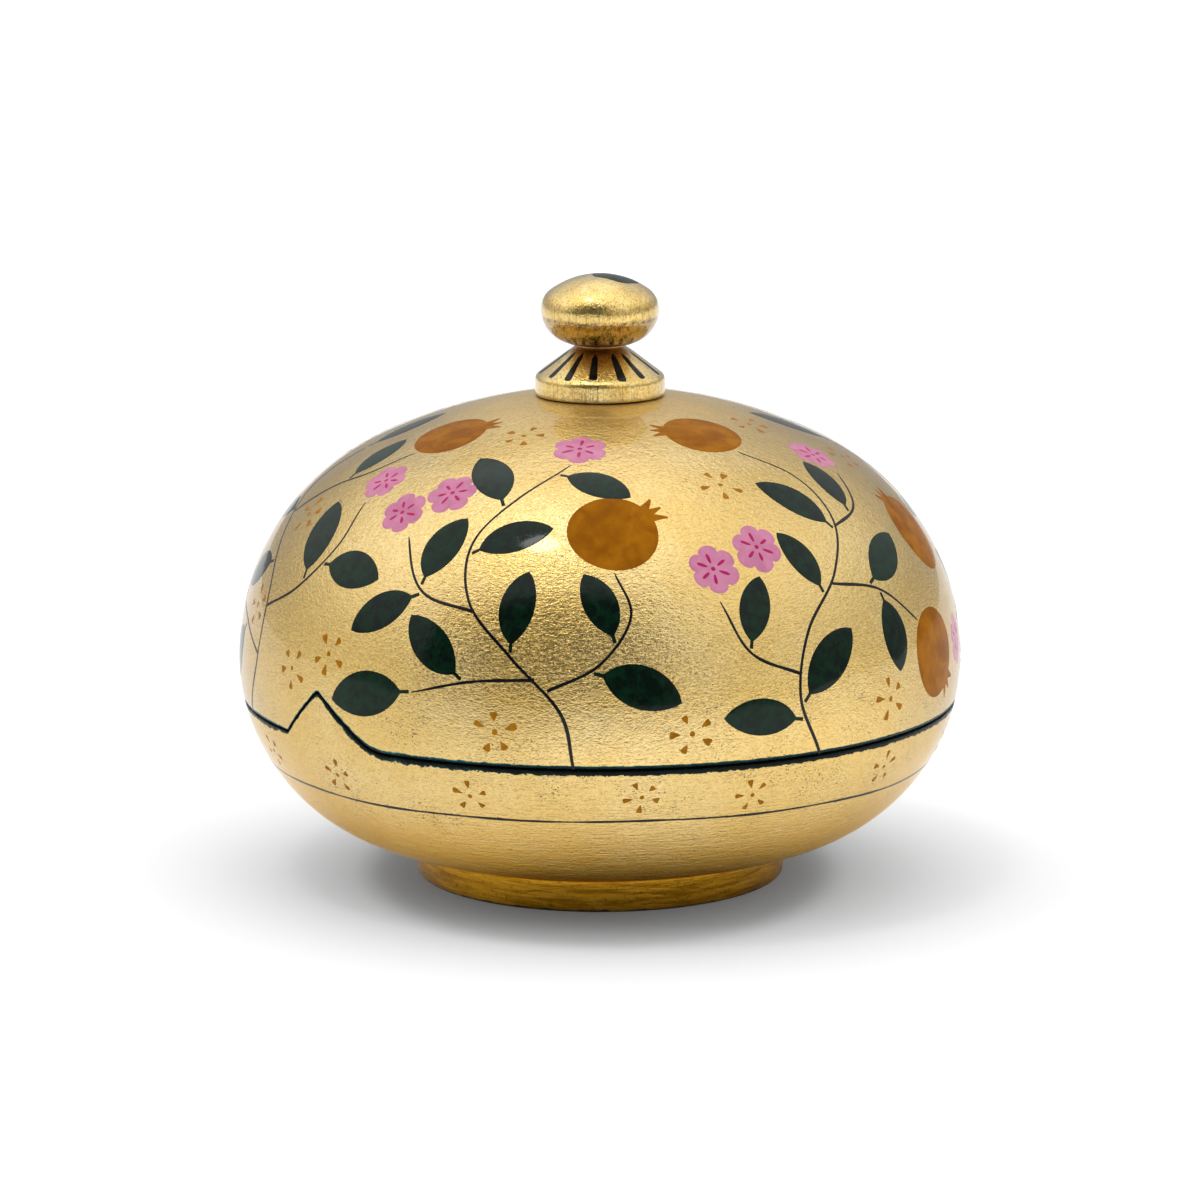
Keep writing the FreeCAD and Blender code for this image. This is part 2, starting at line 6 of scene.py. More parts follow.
import bmesh
import bpy
import numpy as np
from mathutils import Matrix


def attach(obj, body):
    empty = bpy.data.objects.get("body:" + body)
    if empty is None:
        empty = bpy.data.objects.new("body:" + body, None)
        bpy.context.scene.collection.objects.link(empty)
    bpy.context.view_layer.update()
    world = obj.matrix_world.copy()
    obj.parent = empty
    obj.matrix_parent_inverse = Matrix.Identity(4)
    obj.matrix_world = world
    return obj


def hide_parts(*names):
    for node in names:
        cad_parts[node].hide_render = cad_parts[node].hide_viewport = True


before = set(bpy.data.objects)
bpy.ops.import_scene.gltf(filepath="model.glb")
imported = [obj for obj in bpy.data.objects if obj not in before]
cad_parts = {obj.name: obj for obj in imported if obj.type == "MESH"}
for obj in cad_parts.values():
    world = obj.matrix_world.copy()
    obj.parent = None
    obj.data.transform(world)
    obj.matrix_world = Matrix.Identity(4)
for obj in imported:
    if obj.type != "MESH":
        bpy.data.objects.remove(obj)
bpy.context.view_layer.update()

METRES = 0.001

# Sizes of the turned and sawn shapes, as in the part's source.
BODY_RADIUS = 70.0
DOME_SHOULDER = 46.0
CROWN_RADIUS = 102.0
BOWL_SHOULDER = 36.6
UNDERSIDE_RADIUS = 252.4
WALL = 3.4
FOOT_LIFT = 4.0
PARTING_DROP = 7.95
RIM_GAP = 0.3
RIM_ROUND = 0.5
TOOTH_AZIMUTH = math.radians(-49)
TOOTH_HEIGHT = 9.5
TOOTH_LEFT = math.radians(41)
TOOTH_RIGHT = math.radians(36)
TOOTH_TIP_ROUND = 1.1
TOOTH_LEFT_ROUND = 1.2
TOOTH_RIGHT_ROUND = 9.0
GLUE = 0.1
COLLAR = 1.6
COLLAR_RISE = 7.0
COLLAR_DROP = 9.0
COLLAR_CLEARANCE = 0.35
FOOT_RADIUS = 36.4
FOOT_TAPER = 0.8
FOOT_WIDTH = 7.4
FOOT_ROUND = 0.8
TENON = 4.0
KNOB_BASE = 12.6
KNOB_BAND = 3.0
KNOB_CONE = 6.1
KNOB_NECK = 4.4
BUN_RADIUS = 11.45
BUN_UNDER = 6.8
BUN_SIDE = 4.6
BUN_TOP = 16.5
KNOB_SEAT_ROUND = 0.25
KNOB_SKIRT_ROUND = 1.6
KNOB_NECK_EASE = 0.9

QUARTER_TURN = math.pi / 2
FULL_TURN = 2 * math.pi


def cap_rise(widest, shoulder, cap):
    """Rise from the widest line to the top of a shoulder arc that a flatter arc on the axis closes."""
    return cap - math.sqrt((cap - shoulder) ** 2 - (widest - shoulder) ** 2)


EQUATOR = FOOT_LIFT + cap_rise(BODY_RADIUS, BOWL_SHOULDER, UNDERSIDE_RADIUS)
CROWN = EQUATOR + cap_rise(BODY_RADIUS, DOME_SHOULDER, CROWN_RADIUS)
RIM = EQUATOR - PARTING_DROP
BOWL_CENTRE = (BODY_RADIUS - BOWL_SHOULDER, EQUATOR)
DOME_CENTRE = (BODY_RADIUS - DOME_SHOULDER, EQUATOR)
UNDERSIDE_CENTRE = (0.0, FOOT_LIFT + UNDERSIDE_RADIUS)
CROWN_CENTRE = (0.0, CROWN - CROWN_RADIUS)
LOW_ANGLE = math.atan2(BOWL_CENTRE[1] - UNDERSIDE_CENTRE[1], BOWL_CENTRE[0])
HIGH_ANGLE = math.atan2(DOME_CENTRE[1] - CROWN_CENTRE[1], DOME_CENTRE[0])


# Turned profiles

def arc_run(centre, radius, start, end, step=0.3):
    """Points along an arc, about one step apart."""
    count = max(math.ceil(abs(end - start) * radius / step), 2)
    angle = np.linspace(start, end, count + 1)
    return np.column_stack((centre[0] + radius * np.cos(angle), centre[1] + radius * np.sin(angle)))


def line_run(start, end, step=0.4):
    count = max(math.ceil(math.dist(start, end) / step), 1)
    return np.linspace(start, end, count + 1)


def bend_at(t, start, corner, end):
    """The place at t on a smooth bend from start to end that leans towards the corner."""
    return (1 - t) ** 2 * start + 2 * t * (1 - t) * corner + t**2 * end


def bend_run(start, corner, end, count=6):
    t = np.linspace(0, 1, count + 1)[:, None]
    return bend_at(t, *(np.array(point) for point in (start, corner, end)))


def chain(*runs):
    return np.vstack([runs[0]] + [run[1:] for run in runs[1:]])


def towards(point, other, distance):
    point, other = np.array(point, float), np.array(other, float)
    return point + (other - point) * distance / np.linalg.norm(other - point)


def shell_profile(inset):
    """The moulded shell's skin, from the underside's middle up to the crown."""
    arcs = (
        (UNDERSIDE_CENTRE, UNDERSIDE_RADIUS, -QUARTER_TURN, LOW_ANGLE),
        (BOWL_CENTRE, BOWL_SHOULDER, LOW_ANGLE, 0),
        (DOME_CENTRE, DOME_SHOULDER, 0, HIGH_ANGLE),
        (CROWN_CENTRE, CROWN_RADIUS, HIGH_ANGLE, QUARTER_TURN),
    )
    return chain(*(arc_run(centre, radius - inset, *span) for centre, radius, *span in arcs))


class Ripple:
    """Slow seeded unevenness of a hand-made surface, always inwards."""

    GAIN = 1.6

    def __init__(self, seed, depth, turns, climb, count=9):
        pick = random.Random(seed)
        self.depth = depth
        self.terms = [
            (pick.randint(*turns), pick.uniform(-climb, climb), pick.uniform(0, FULL_TURN))
            for _ in range(count)
        ]

    def __call__(self, s, azimuth, radius, calm):
        total = sum(np.cos(turns * azimuth + climb * s + phase) for turns, climb, phase in self.terms)
        share = np.clip(total / len(self.terms) * self.GAIN, -1, 1)
        return -self.depth * (0.5 + 0.5 * share * np.minimum(1, radius / calm))


def round_angles(count):
    return np.linspace(0, FULL_TURN, count, endpoint=False)


def round_points(r, azimuth, z):
    """Points by radius, azimuth and height; the azimuth is 0 at the front and rises to the right."""
    return np.stack((r * np.sin(azimuth), -r * np.cos(azimuth), z), -1)


class Turned:
    """A turned skin that gives points by length along its profile and by azimuth."""

    def __init__(self, profile, ripple=None, calm=25.0):
        steps = np.hypot(*np.diff(profile, axis=0).T)
        self.s = np.concatenate(([0], np.cumsum(steps)))
        self.r, self.z = profile.T
        rise, run = np.gradient(self.z, self.s), np.gradient(self.r, self.s)
        length = np.hypot(rise, run)
        self.nr, self.nz = rise / length, -run / length
        self.ripple = ripple
        self.calm = calm

    def zero_at_widest(self):
        self.s = self.s - self.s[np.argmax(self.r)]
        return self

    def radius(self, s):
        return np.interp(s, self.s, self.r)

    def height(self, s):
        return np.interp(s, self.s, self.z)

    def at(self, s, azimuth, lift=0.0):
        s, azimuth, lift = np.broadcast_arrays(s, azimuth, lift)
        r, z = self.radius(s), self.height(s)
        nr, nz = np.interp(s, self.s, self.nr), np.interp(s, self.s, self.nz)
        if self.ripple:
            lift = lift + self.ripple(s, azimuth, r, self.calm)
        return round_points(np.maximum(r + nr * lift, 0), azimuth, z + nz * lift)


class Shell(Turned):
    """The moulded shell's outside, on which flat motifs are laid from their tangent plane."""

    def spread(self, s, azimuth, turn, u, v):
        across = u * math.cos(turn) - v * math.sin(turn)
        up = u * math.sin(turn) + v * math.cos(turn)
        r, z = self.radius(s), self.height(s)
        nr, nz = np.interp(s, self.s, self.nr), np.interp(s, self.s, self.nz)
        outwards = r - nz * up
        x = outwards * math.sin(azimuth) + across * math.cos(azimuth)
        y = -outwards * math.cos(azimuth) + across * math.sin(azimuth)
        z = z + nr * up
        r = np.hypot(x, y)
        dome = np.arctan2(z - EQUATOR, r - DOME_CENTRE[0])
        bowl = np.arctan2(z - EQUATOR, r - BOWL_CENTRE[0])
        crown = np.arctan2(z - CROWN_CENTRE[1], r)
        length = np.where(dome < 0, BOWL_SHOULDER * bowl, DOME_SHOULDER * dome)
        top = DOME_SHOULDER * HIGH_ANGLE + CROWN_RADIUS * (crown - HIGH_ANGLE)
        return np.where(dome > HIGH_ANGLE, top, length), np.arctan2(x, -y)


class Knob(Turned):
    """The knob's outside, on which flat motifs are laid round the middle of its top."""

    def spread(self, s, azimuth, turn, u, v):
        off = self.s[-1] - s
        x = off * math.sin(azimuth) + u * math.cos(turn) - v * math.sin(turn)
        y = -off * math.cos(azimuth) + u * math.sin(turn) + v * math.cos(turn)
        return self.s[-1] - np.hypot(x, y), np.arctan2(x, -y)


# Meshes

def smooth_step(value):
    value = np.clip(value, 0, 1)
    return value * value * (3 - 2 * value)


def new_object(name, data):
    thing = bpy.data.objects.new(name, data)
    bpy.context.scene.collection.objects.link(thing)
    return thing


def new_piece(name, points, faces, materials, body, marks=(), slots=None, sharp=40):
    """A smooth shaded mesh object in metres that rides on a body; marks are per-point attributes."""
    mesh = bpy.data.meshes.new(name)
    mesh.from_pydata((np.asarray(points) * METRES).tolist(), [], faces)
    for material in materials:
        mesh.materials.append(material)
    if slots is not None:
        mesh.polygons.foreach_set("material_index", slots)
    for mark, values in marks:
        layer = mesh.attributes.new(mark, "FLOAT", "POINT")
        layer.data.foreach_set("value", np.asarray(values, np.float32))
    shape = bmesh.new()
    shape.from_mesh(mesh)
    bmesh.ops.recalc_face_normals(shape, faces=shape.faces)
    shape.to_mesh(mesh)
    shape.free()
    mesh.shade_smooth()
    mesh.set_sharp_from_angle(angle=math.radians(sharp))
    piece = new_object(name, mesh)
    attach(piece, body)
    return piece


def ring_faces(rings, columns, closed):
    """Quads between rings of points that close on themselves, or that end in a pole at each end."""
    first = 0 if closed else 1

    def index(ring, column):
        return first + ring % rings * columns + column % columns

    faces = []
    if not closed:
        faces += [(0, index(0, j), index(0, j + 1)) for j in range(columns)]
    for i in range(rings if closed else rings - 1):
        for j in range(columns):
            faces.append((index(i, j), index(i, j + 1), index(i + 1, j + 1), index(i + 1, j)))
    if not closed:
        end = first + rings * columns
        faces += [(index(-1, j), end, index(-1, j + 1)) for j in range(columns)]
    return faces


def turned_piece(name, skin, columns, materials, body, closed, sharp=40):
    """A whole turned piece from its closed profile, or from one that ends on the axis at both ends."""
    azimuth = round_angles(columns)
    rows = skin.s[:-1] if closed else skin.s[1:-1]
    points = skin.at(rows[:, None], azimuth[None, :]).reshape(-1, 3)
    if not closed:
        points = np.vstack(([(0, 0, skin.z[0])], points, [(0, 0, skin.z[-1])]))
    faces = ring_faces(len(rows), columns, closed)
    return new_piece(name, points, faces, materials, body, sharp=sharp)


# The sawn shell

def tooth_flank(x, angle, rounding):
    """Height of one side of the tooth, x off its middle: round tip, straight flank, hollow root."""
    tip_centre = TOOTH_HEIGHT - TOOTH_TIP_ROUND
    tip = TOOTH_TIP_ROUND * math.sin(angle)
    top = tip_centre + TOOTH_TIP_ROUND * math.cos(angle)
    low = rounding * (1 - math.cos(angle))
    foot = tip + (top - low) / math.tan(angle)
    root = foot + rounding * math.sin(angle)
    return np.select(
        [x < tip, x < foot, x < root],
        [
            tip_centre + np.sqrt(np.maximum(TOOTH_TIP_ROUND**2 - x**2, 0)),
            low + (foot - x) * math.tan(angle),
            rounding - np.sqrt(np.maximum(rounding**2 - (x - root) ** 2, 0)),
        ],
        0.0,
    )


def tooth_rise(x):
    """Height of the saw line's leaning tooth above its level run."""
    left = tooth_flank(-x, TOOTH_LEFT, TOOTH_LEFT_ROUND)
    return np.where(x < 0, left, tooth_flank(x, TOOTH_RIGHT, TOOTH_RIGHT_ROUND))


def saw_height(radius, azimuth, level):
    turn = azimuth - TOOTH_AZIMUTH
    return level + np.where(np.cos(turn) > 0, tooth_rise(radius * np.sin(turn)), 0)


def saw_columns():
    """Azimuths round the shell, close together at the tooth."""
    left, right, fine, coarse = -11.5, 15.5, 0.2, 0.9
    degrees = np.concatenate((np.arange(left, right, fine), np.arange(right, left + 360, coarse)))
    return TOOTH_AZIMUTH + np.radians(degrees)


def saw_place(skin, azimuth, level):
    """Length along the skin at which the saw line crosses it."""
    lowest, highest, halvings = -25.0, 20.0, 40
    low, high = np.full_like(azimuth, lowest), np.full_like(azimuth, highest)
    for _ in range(halvings):
        middle = (low + high) / 2
        above = skin.height(middle) > saw_height(skin.radius(middle), azimuth, level)
        low, high = np.where(above, low, middle), np.where(above, middle, high)
    return (low + high) / 2


def graded(first, last, fine, coarse, growth=1.25):
    """Distances from first to last, in steps that grow from fine to coarse."""
    found, step = [first], fine
    while found[-1] + step < last:
        found.append(found[-1] + step)
        step = min(step * growth, coarse)
    scale = (last - first) / (found[-1] - first)
    return first + (np.array(found) - first) * scale


def rim_reach(azimuth, front):
    """How far the rim's dark paint reaches: widest along the front, thin on and behind the tooth."""
    turn = (azimuth - TOOTH_AZIMUTH + math.pi) % FULL_TURN - math.pi
    turns = np.radians((-180, -14, -9, -1, 1, 7, 25, 130, 180))
    shares = (0.85, 0.85, 0.45, 0.5, 0.6, 1.05, 1.05, 1.0, 0.85)
    return front * np.interp(turn, turns, shares)


SAWN_STEPS = (0, 0.35, 0.7)
EASED_STEPS = (0.2, 0.4, 0.6, 0.8)
EASED_DISTANCE = (0.35, 0.22, 0.1, 0.0)
LID_RIM_PAINT = 0.72
BOWL_RIM_PAINT = 0.95
FOLLOW = 28.0


def half_shell(name, upper, materials, body, paint_reach):
    """The lid's or the bowl's half of the sawn shell, with its eased rim and its inside."""
    azimuth = saw_columns()
    level = RIM + (RIM_GAP if upper else 0)
    way = 1 if upper else -1
    hole = TENON + GLUE

    def end_of(skin):
        if not upper:
            return skin.s[0]
        return np.interp(-hole, -skin.r[skin.s > 0], skin.s[skin.s > 0])

    def rows_of(skin, start, fine, coarse):
        """Rings from the rim to the end: they follow the saw line at first and are level further off."""
        crossing = saw_place(skin, azimuth, level)
        plain = np.interp(level, skin.z, skin.s)
        distance = graded(start, abs(end_of(skin) - plain), fine, coarse)
        keep = 1 - smooth_step(distance / FOLLOW)
        s = plain + way * distance[:, None] + (crossing - plain)[None, :] * keep[:, None]
        return distance, s, crossing

    out_distance, out_s, out_rim = rows_of(shell, RIM_ROUND, 0.15, 1.1)
    _, in_s, _ = rows_of(lining, 0.0, 0.5, 2.4)
    outside = shell.at(out_s, azimuth[None, :])
    inside = lining.at(in_s, azimuth[None, :])
    corner = shell.at(out_rim, azimuth)
    corner_radius = np.hypot(corner[:, 0], corner[:, 1])
    inner_radius = np.hypot(inside[0, :, 0], inside[0, :, 1])
    sawn = []
    for share in SAWN_STEPS:
        r = (corner_radius - RIM_ROUND) * (1 - share) + inner_radius * share
        sawn.append(round_points(r, azimuth, saw_height(r, azimuth, level)))
    eased = [bend_at(t, outside[0], corner, sawn[0]) for t in EASED_STEPS]
    if not upper:
        outside, out_distance, inside = outside[:-1], out_distance[:-1], inside[:-1]
    rings = [*outside[::-1], *eased, *sawn, *inside]
    far = np.concatenate((out_distance[::-1], EASED_DISTANCE, np.zeros(len(sawn) + len(inside))))
    points = np.concatenate(rings)
    marks = (far[:, None] / rim_reach(azimuth, paint_reach)[None, :]).ravel()
    gilded = (len(outside) + len(eased)) * len(azimuth)
    if not upper:
        points = np.vstack(([(0, 0, shell.z[0])], points, [(0, 0, lining.z[0])]))
        marks = np.concatenate((marks[:1], marks, marks[-1:]))
        gilded += 1
    faces = ring_faces(len(rings), len(azimuth), upper)
    slots = [int(face[0] >= gilded) for face in faces]
    return new_piece(name, points, faces, materials, body, [("rim_share", marks)], slots, sharp=50)


# Painted patches

def ray(reach, bearing):
    """Flat points at some distances along a bearing, or along bearings of their own."""
    return np.column_stack((reach * np.cos(bearing), reach * np.sin(bearing)))


class Paint:
    """Thin closed patches of one paint, laid on a turned skin."""

    LIFTED = 0.025
    SUNK = -0.05

    def __init__(self, skin, seed, base=0.0):
        self.skin = skin
        self.base = base
        self.pick = random.Random(seed)
        self.points, self.faces, self.tint, self.edge = [], [], [], []
        self.count = 0

    def _add(self, s, azimuth, top, sunk, edge, rim, faces, ends=()):
        """Adds a sheet and its underside, which meet at the rim's points; rows at open ends are closed."""
        inner = np.flatnonzero(~rim)
        twin = np.arange(len(rim))
        twin[inner] = len(rim) + np.arange(len(inner))
        faces = faces + [twin[list(face[::-1])] for face in faces]
        faces += [(*row, *twin[row[-2:0:-1]]) for row in ends]
        self.faces += [tuple(int(i) + self.count for i in face) for face in faces]
        self.points += [self.skin.at(s, azimuth, top), self.skin.at(s[inner], azimuth[inner], sunk[inner])]
        size = len(rim) + len(inner)
        self.tint.append(np.full(size, self.pick.random()))
        self.edge += [edge, np.zeros(len(inner))]
        self.count += size

    def strip(self, s, azimuth, half_width, closed=False):
        """A brush stroke along a path of places on the skin."""
        share = np.array([-1, -0.8, -0.4, 0, 0.4, 0.8, 1])
        r = np.maximum(self.skin.radius(s), 0.5)
        if closed:
            along, up = np.ones_like(s), np.zeros_like(s)
        else:
            along, up = r * np.gradient(azimuth), np.gradient(s)
        length = np.hypot(along, up)
        along, up = along / length, up / length
        offset = half_width[:, None] * share[None, :]
        grid_s = s[:, None] + along[:, None] * offset
        grid_azimuth = azimuth[:, None] - up[:, None] * offset / r[:, None]
        self.grid(grid_s, grid_azimuth, share, closed)

    def grid(self, s, azimuth, share, closed=False):
        """A patch from a grid of places: its outer columns lie on the skin and the rest stand proud."""
        rows, columns = s.shape
        thin = np.sqrt(np.clip(1 - np.abs(share) ** 8, 0, 1))
        top = np.tile(self.base + self.LIFTED * thin, (rows, 1))
        sunk = np.full(s.shape, self.base + self.SUNK)
        spot = np.arange(s.size).reshape(s.shape)
        ends = [] if closed else [spot[0], spot[-1]]
        if not closed:
            top[[0, -1]] = self.base
            sunk[[0, -1]] *= 0.9
        faces = []
        for i in range(rows if closed else rows - 1):
            low, high = spot[i], spot[(i + 1) % rows]
            faces += [(low[j], low[j + 1], high[j + 1], high[j]) for j in range(columns - 1)]
        edge = np.tile(1 - np.abs(share), rows)
        places = (values.ravel() for values in (s, azimuth, top, sunk))
        self._add(*places, edge, edge == 0, faces, ends)

    def disc(self, s, azimuth, turn, outline, rings=(1.0, 0.93, 0.8, 0.6, 0.4, 0.2)):
        """A round patch whose outline gives its reach by angle."""
        count, middle = len(outline), len(outline) * len(rings)
        flat = ray(outline, round_angles(count))
        share = np.append(np.repeat(rings, count), 0)
        u, v = np.vstack([flat * ring for ring in rings] + [(0, 0)]).T
        top = self.base + self.LIFTED * np.sqrt(1 - share**12)
        sunk = np.full(len(share), self.base + self.SUNK)
        faces = []
        for i in range(middle):
            after = i + 1 if (i + 1) % count else i + 1 - count
            inwards = (after + count, i + count) if i + count < middle else (middle,)
            faces.append((i, after, *inwards))
        self._add(*self.skin.spread(s, azimuth, turn, u, v), top, sunk, 1 - share, share == 1, faces)

    def stroke(self, s, azimuth, turn, path, half_width):
        """A brush stroke along flat points round a place on the skin."""
        path = np.array(path, float)
        across = np.gradient(path, axis=0)
        across = np.column_stack((-across[:, 1], across[:, 0])) / np.linalg.norm(across, axis=1)[:, None]
        share = np.array([-1, -0.85, -0.45, 0, 0.45, 0.85, 1])
        spot = path[:, None, :] + across[:, None, :] * (half_width[:, None] * share[None, :])[:, :, None]
        grid_s, grid_azimuth = self.skin.spread(s, azimuth, turn, spot[..., 0], spot[..., 1])
        self.grid(grid_s, grid_azimuth, share)

    def piece(self, name, material, body, slot):
        marks = [("tint", np.concatenate(self.tint)), ("edge", np.concatenate(self.edge))]
        return new_piece(name, np.vstack(self.points), self.faces, [material], body, marks, sharp=70)


def smooth_path(points, step=0.7):
    """Azimuths and lengths, about a step apart, of a smooth path through places as (degrees, s)."""
    points = np.array(points, float)
    points[:, 0] = np.radians(points[:, 0])
    ends = np.vstack((2 * points[0] - points[1], points, 2 * points[-1] - points[-2]))
    found = []
    for before, start, end, after in zip(ends, ends[1:], ends[2:], ends[3:]):
        reach = math.hypot((end[0] - start[0]) * shell.radius(start[1]), end[1] - start[1])
        t = np.arange(0, 1, step / max(reach, step))[:, None]
        found.append(
            0.5 * (2 * start + (end - before) * t + (2 * before - 5 * start + 4 * end - after) * t**2
                   + (3 * start - before - 3 * end + after) * t**3)
        )
    found.append(points[-1:])
    path = np.vstack(found)
    return path[:, 0], path[:, 1]


# Shader nodes

def is_socket(value):
    return isinstance(value, bpy.types.NodeSocket)


class Nodes:
    """Short words for building the node tree of a material or a world."""

    def __init__(self, owner):
        owner.use_nodes = True
        self.owner = owner
        self.tree = owner.node_tree
        self.tree.nodes.clear()

    def add(self, kind, values=(), **settings):
        node = self.tree.nodes.new(kind)
        for key, value in settings.items():
            setattr(node, key, value)
        for key, value in dict(values).items():
            if is_socket(value):
                self.tree.links.new(value, node.inputs[key])
            else:
                node.inputs[key].default_value = value
        return node

    def math(self, kind, first, second=0.0, clamp=False):
        return self.add("ShaderNodeMath", {0: first, 1: second}, operation=kind, use_clamp=clamp).outputs[0]

    times = partialmethod(math, "MULTIPLY")
    plus = partialmethod(math, "ADD")
    minus = partialmethod(math, "SUBTRACT")
    ratio = partialmethod(math, "DIVIDE")
    larger = partialmethod(math, "MAXIMUM")

    def away(self, value, middle):
        """How far a value lies from a middle, on either side of it."""
        return self.math("ABSOLUTE", self.minus(value, middle))

    def between(self, value, low, high, out_low=0.0, out_high=1.0):
        """A smooth climb from out_low at low to out_high at high."""
        spans = {"Value": value, "From Min": low, "From Max": high, "To Min": out_low, "To Max": out_high}
        return self.add("ShaderNodeMapRange", spans, interpolation_type="SMOOTHSTEP").outputs[0]

    def blend(self, share, first, second):
        return self.add("ShaderNodeMix", {0: share, 2: first, 3: second}, data_type="FLOAT").outputs[0]

    def mix(self, share, first, second):
        first, second = (tone if is_socket(tone) else (*tone, 1) for tone in (first, second))
        return self.add("ShaderNodeMix", {0: share, 6: first, 7: second}, data_type="RGBA").outputs[2]

    def cover(self, tone, paint, value, low, high, most=1.0):
        """The tone under paint, whose share climbs to most while a value goes from low to high."""
        return self.mix(self.between(value, low, high, 0.0, most), tone, paint)

    def noise(self, vector, scale, detail=2.0, roughness=0.5, distortion=0.0):
        values = {"Vector": vector, "Scale": scale, "Detail": detail}
        values |= {"Roughness": roughness, "Distortion": distortion}
        return self.add("ShaderNodeTexNoise", values).outputs["Fac"]

    def drawn(self, vector, level, upright, *grain):
        """Noise with its own scales level and upright; grain is its detail, roughness and distortion."""
        return self.noise(self.stretch(vector, (level, level, upright)), 1.0, *grain)

    def relief(self, *layers):
        """Bumps laid over each other, each from a pattern and its depth in millimetres."""
        values = {}
        for pattern, depth in layers:
            values |= {"Height": pattern, "Distance": depth * METRES}
            values["Normal"] = self.add("ShaderNodeBump", values).outputs[0]
        return values["Normal"]

    def stretch(self, vector, scale):
        return self.add("ShaderNodeMapping", {"Vector": vector, "Scale": scale}).outputs[0]

    def parts(self, vector):
        return self.add("ShaderNodeSeparateXYZ", {0: vector}).outputs

    def place(self):
        """Object coordinates in millimetres."""
        return self.stretch(self.add("ShaderNodeTexCoord").outputs["Object"], (1 / METRES,) * 3)

    def calm_bounce(self, tone):
        """The tone, but dull for light on its way to the floor, so that the shadow there stays neutral."""
        return self.mix(self.add("ShaderNodeLightPath").outputs["Is Diffuse Ray"], tone, DULL_BOUNCE)

    def mark(self, name):
        return self.add("ShaderNodeAttribute", attribute_name=name).outputs["Fac"]

    def surface(self, values):
        """Ends a material in one shader and gives the material."""
        shader = self.add("ShaderNodeBsdfPrincipled", values)
        self.add("ShaderNodeOutputMaterial", {"Surface": shader.outputs[0]})
        return self.owner


def new_material(name):
    return Nodes(bpy.data.materials.new(name))


GOLD = (0.79, 0.555, 0.18)
PALE_GOLD = (0.85, 0.64, 0.27)
AMBER_GOLD = (0.62, 0.35, 0.045)
LOW_AMBER = (0.76, 0.39, 0.035)
GROUND = (0.05, 0.032, 0.012)
LID_GLANCE = (0.80, 0.72, 0.60, 1)
BOWL_GLANCE = (1.0, 0.82, 0.5, 1)
RIM_PAINT = (0.002, 0.007, 0.008)
# Blue-green painted highlight for the rim paint's lit edge.
RIM_PAINTED_HIGHLIGHT = (0.003, 0.15, 0.16)
KNOB_GOLD = (0.92, 0.68, 0.22)
KNOB_DEEP = (0.86, 0.57, 0.12)
KNOB_UNDER = (0.56, 0.34, 0.05)
# Painted shade for the knob's hollow neck.
KNOB_NECK_PAINTED_SHADE = (0.24, 0.10, 0.01)
KNOB_CRINKLE = (0.46, 0.24, 0.03)
KNOB_SCRATCH = (0.30, 0.155, 0.02)
KNOB_CREASE = (0.09, 0.045, 0.01)
FOOT_DEEP = (0.48, 0.205, 0.006)
FOOT_GOLD = (0.86, 0.44, 0.03)
FOOT_CRINKLE = (0.34, 0.155, 0.01)
DULL_BOUNCE = (0.12, 0.12, 0.12)
WORN_SHARE = 0.8


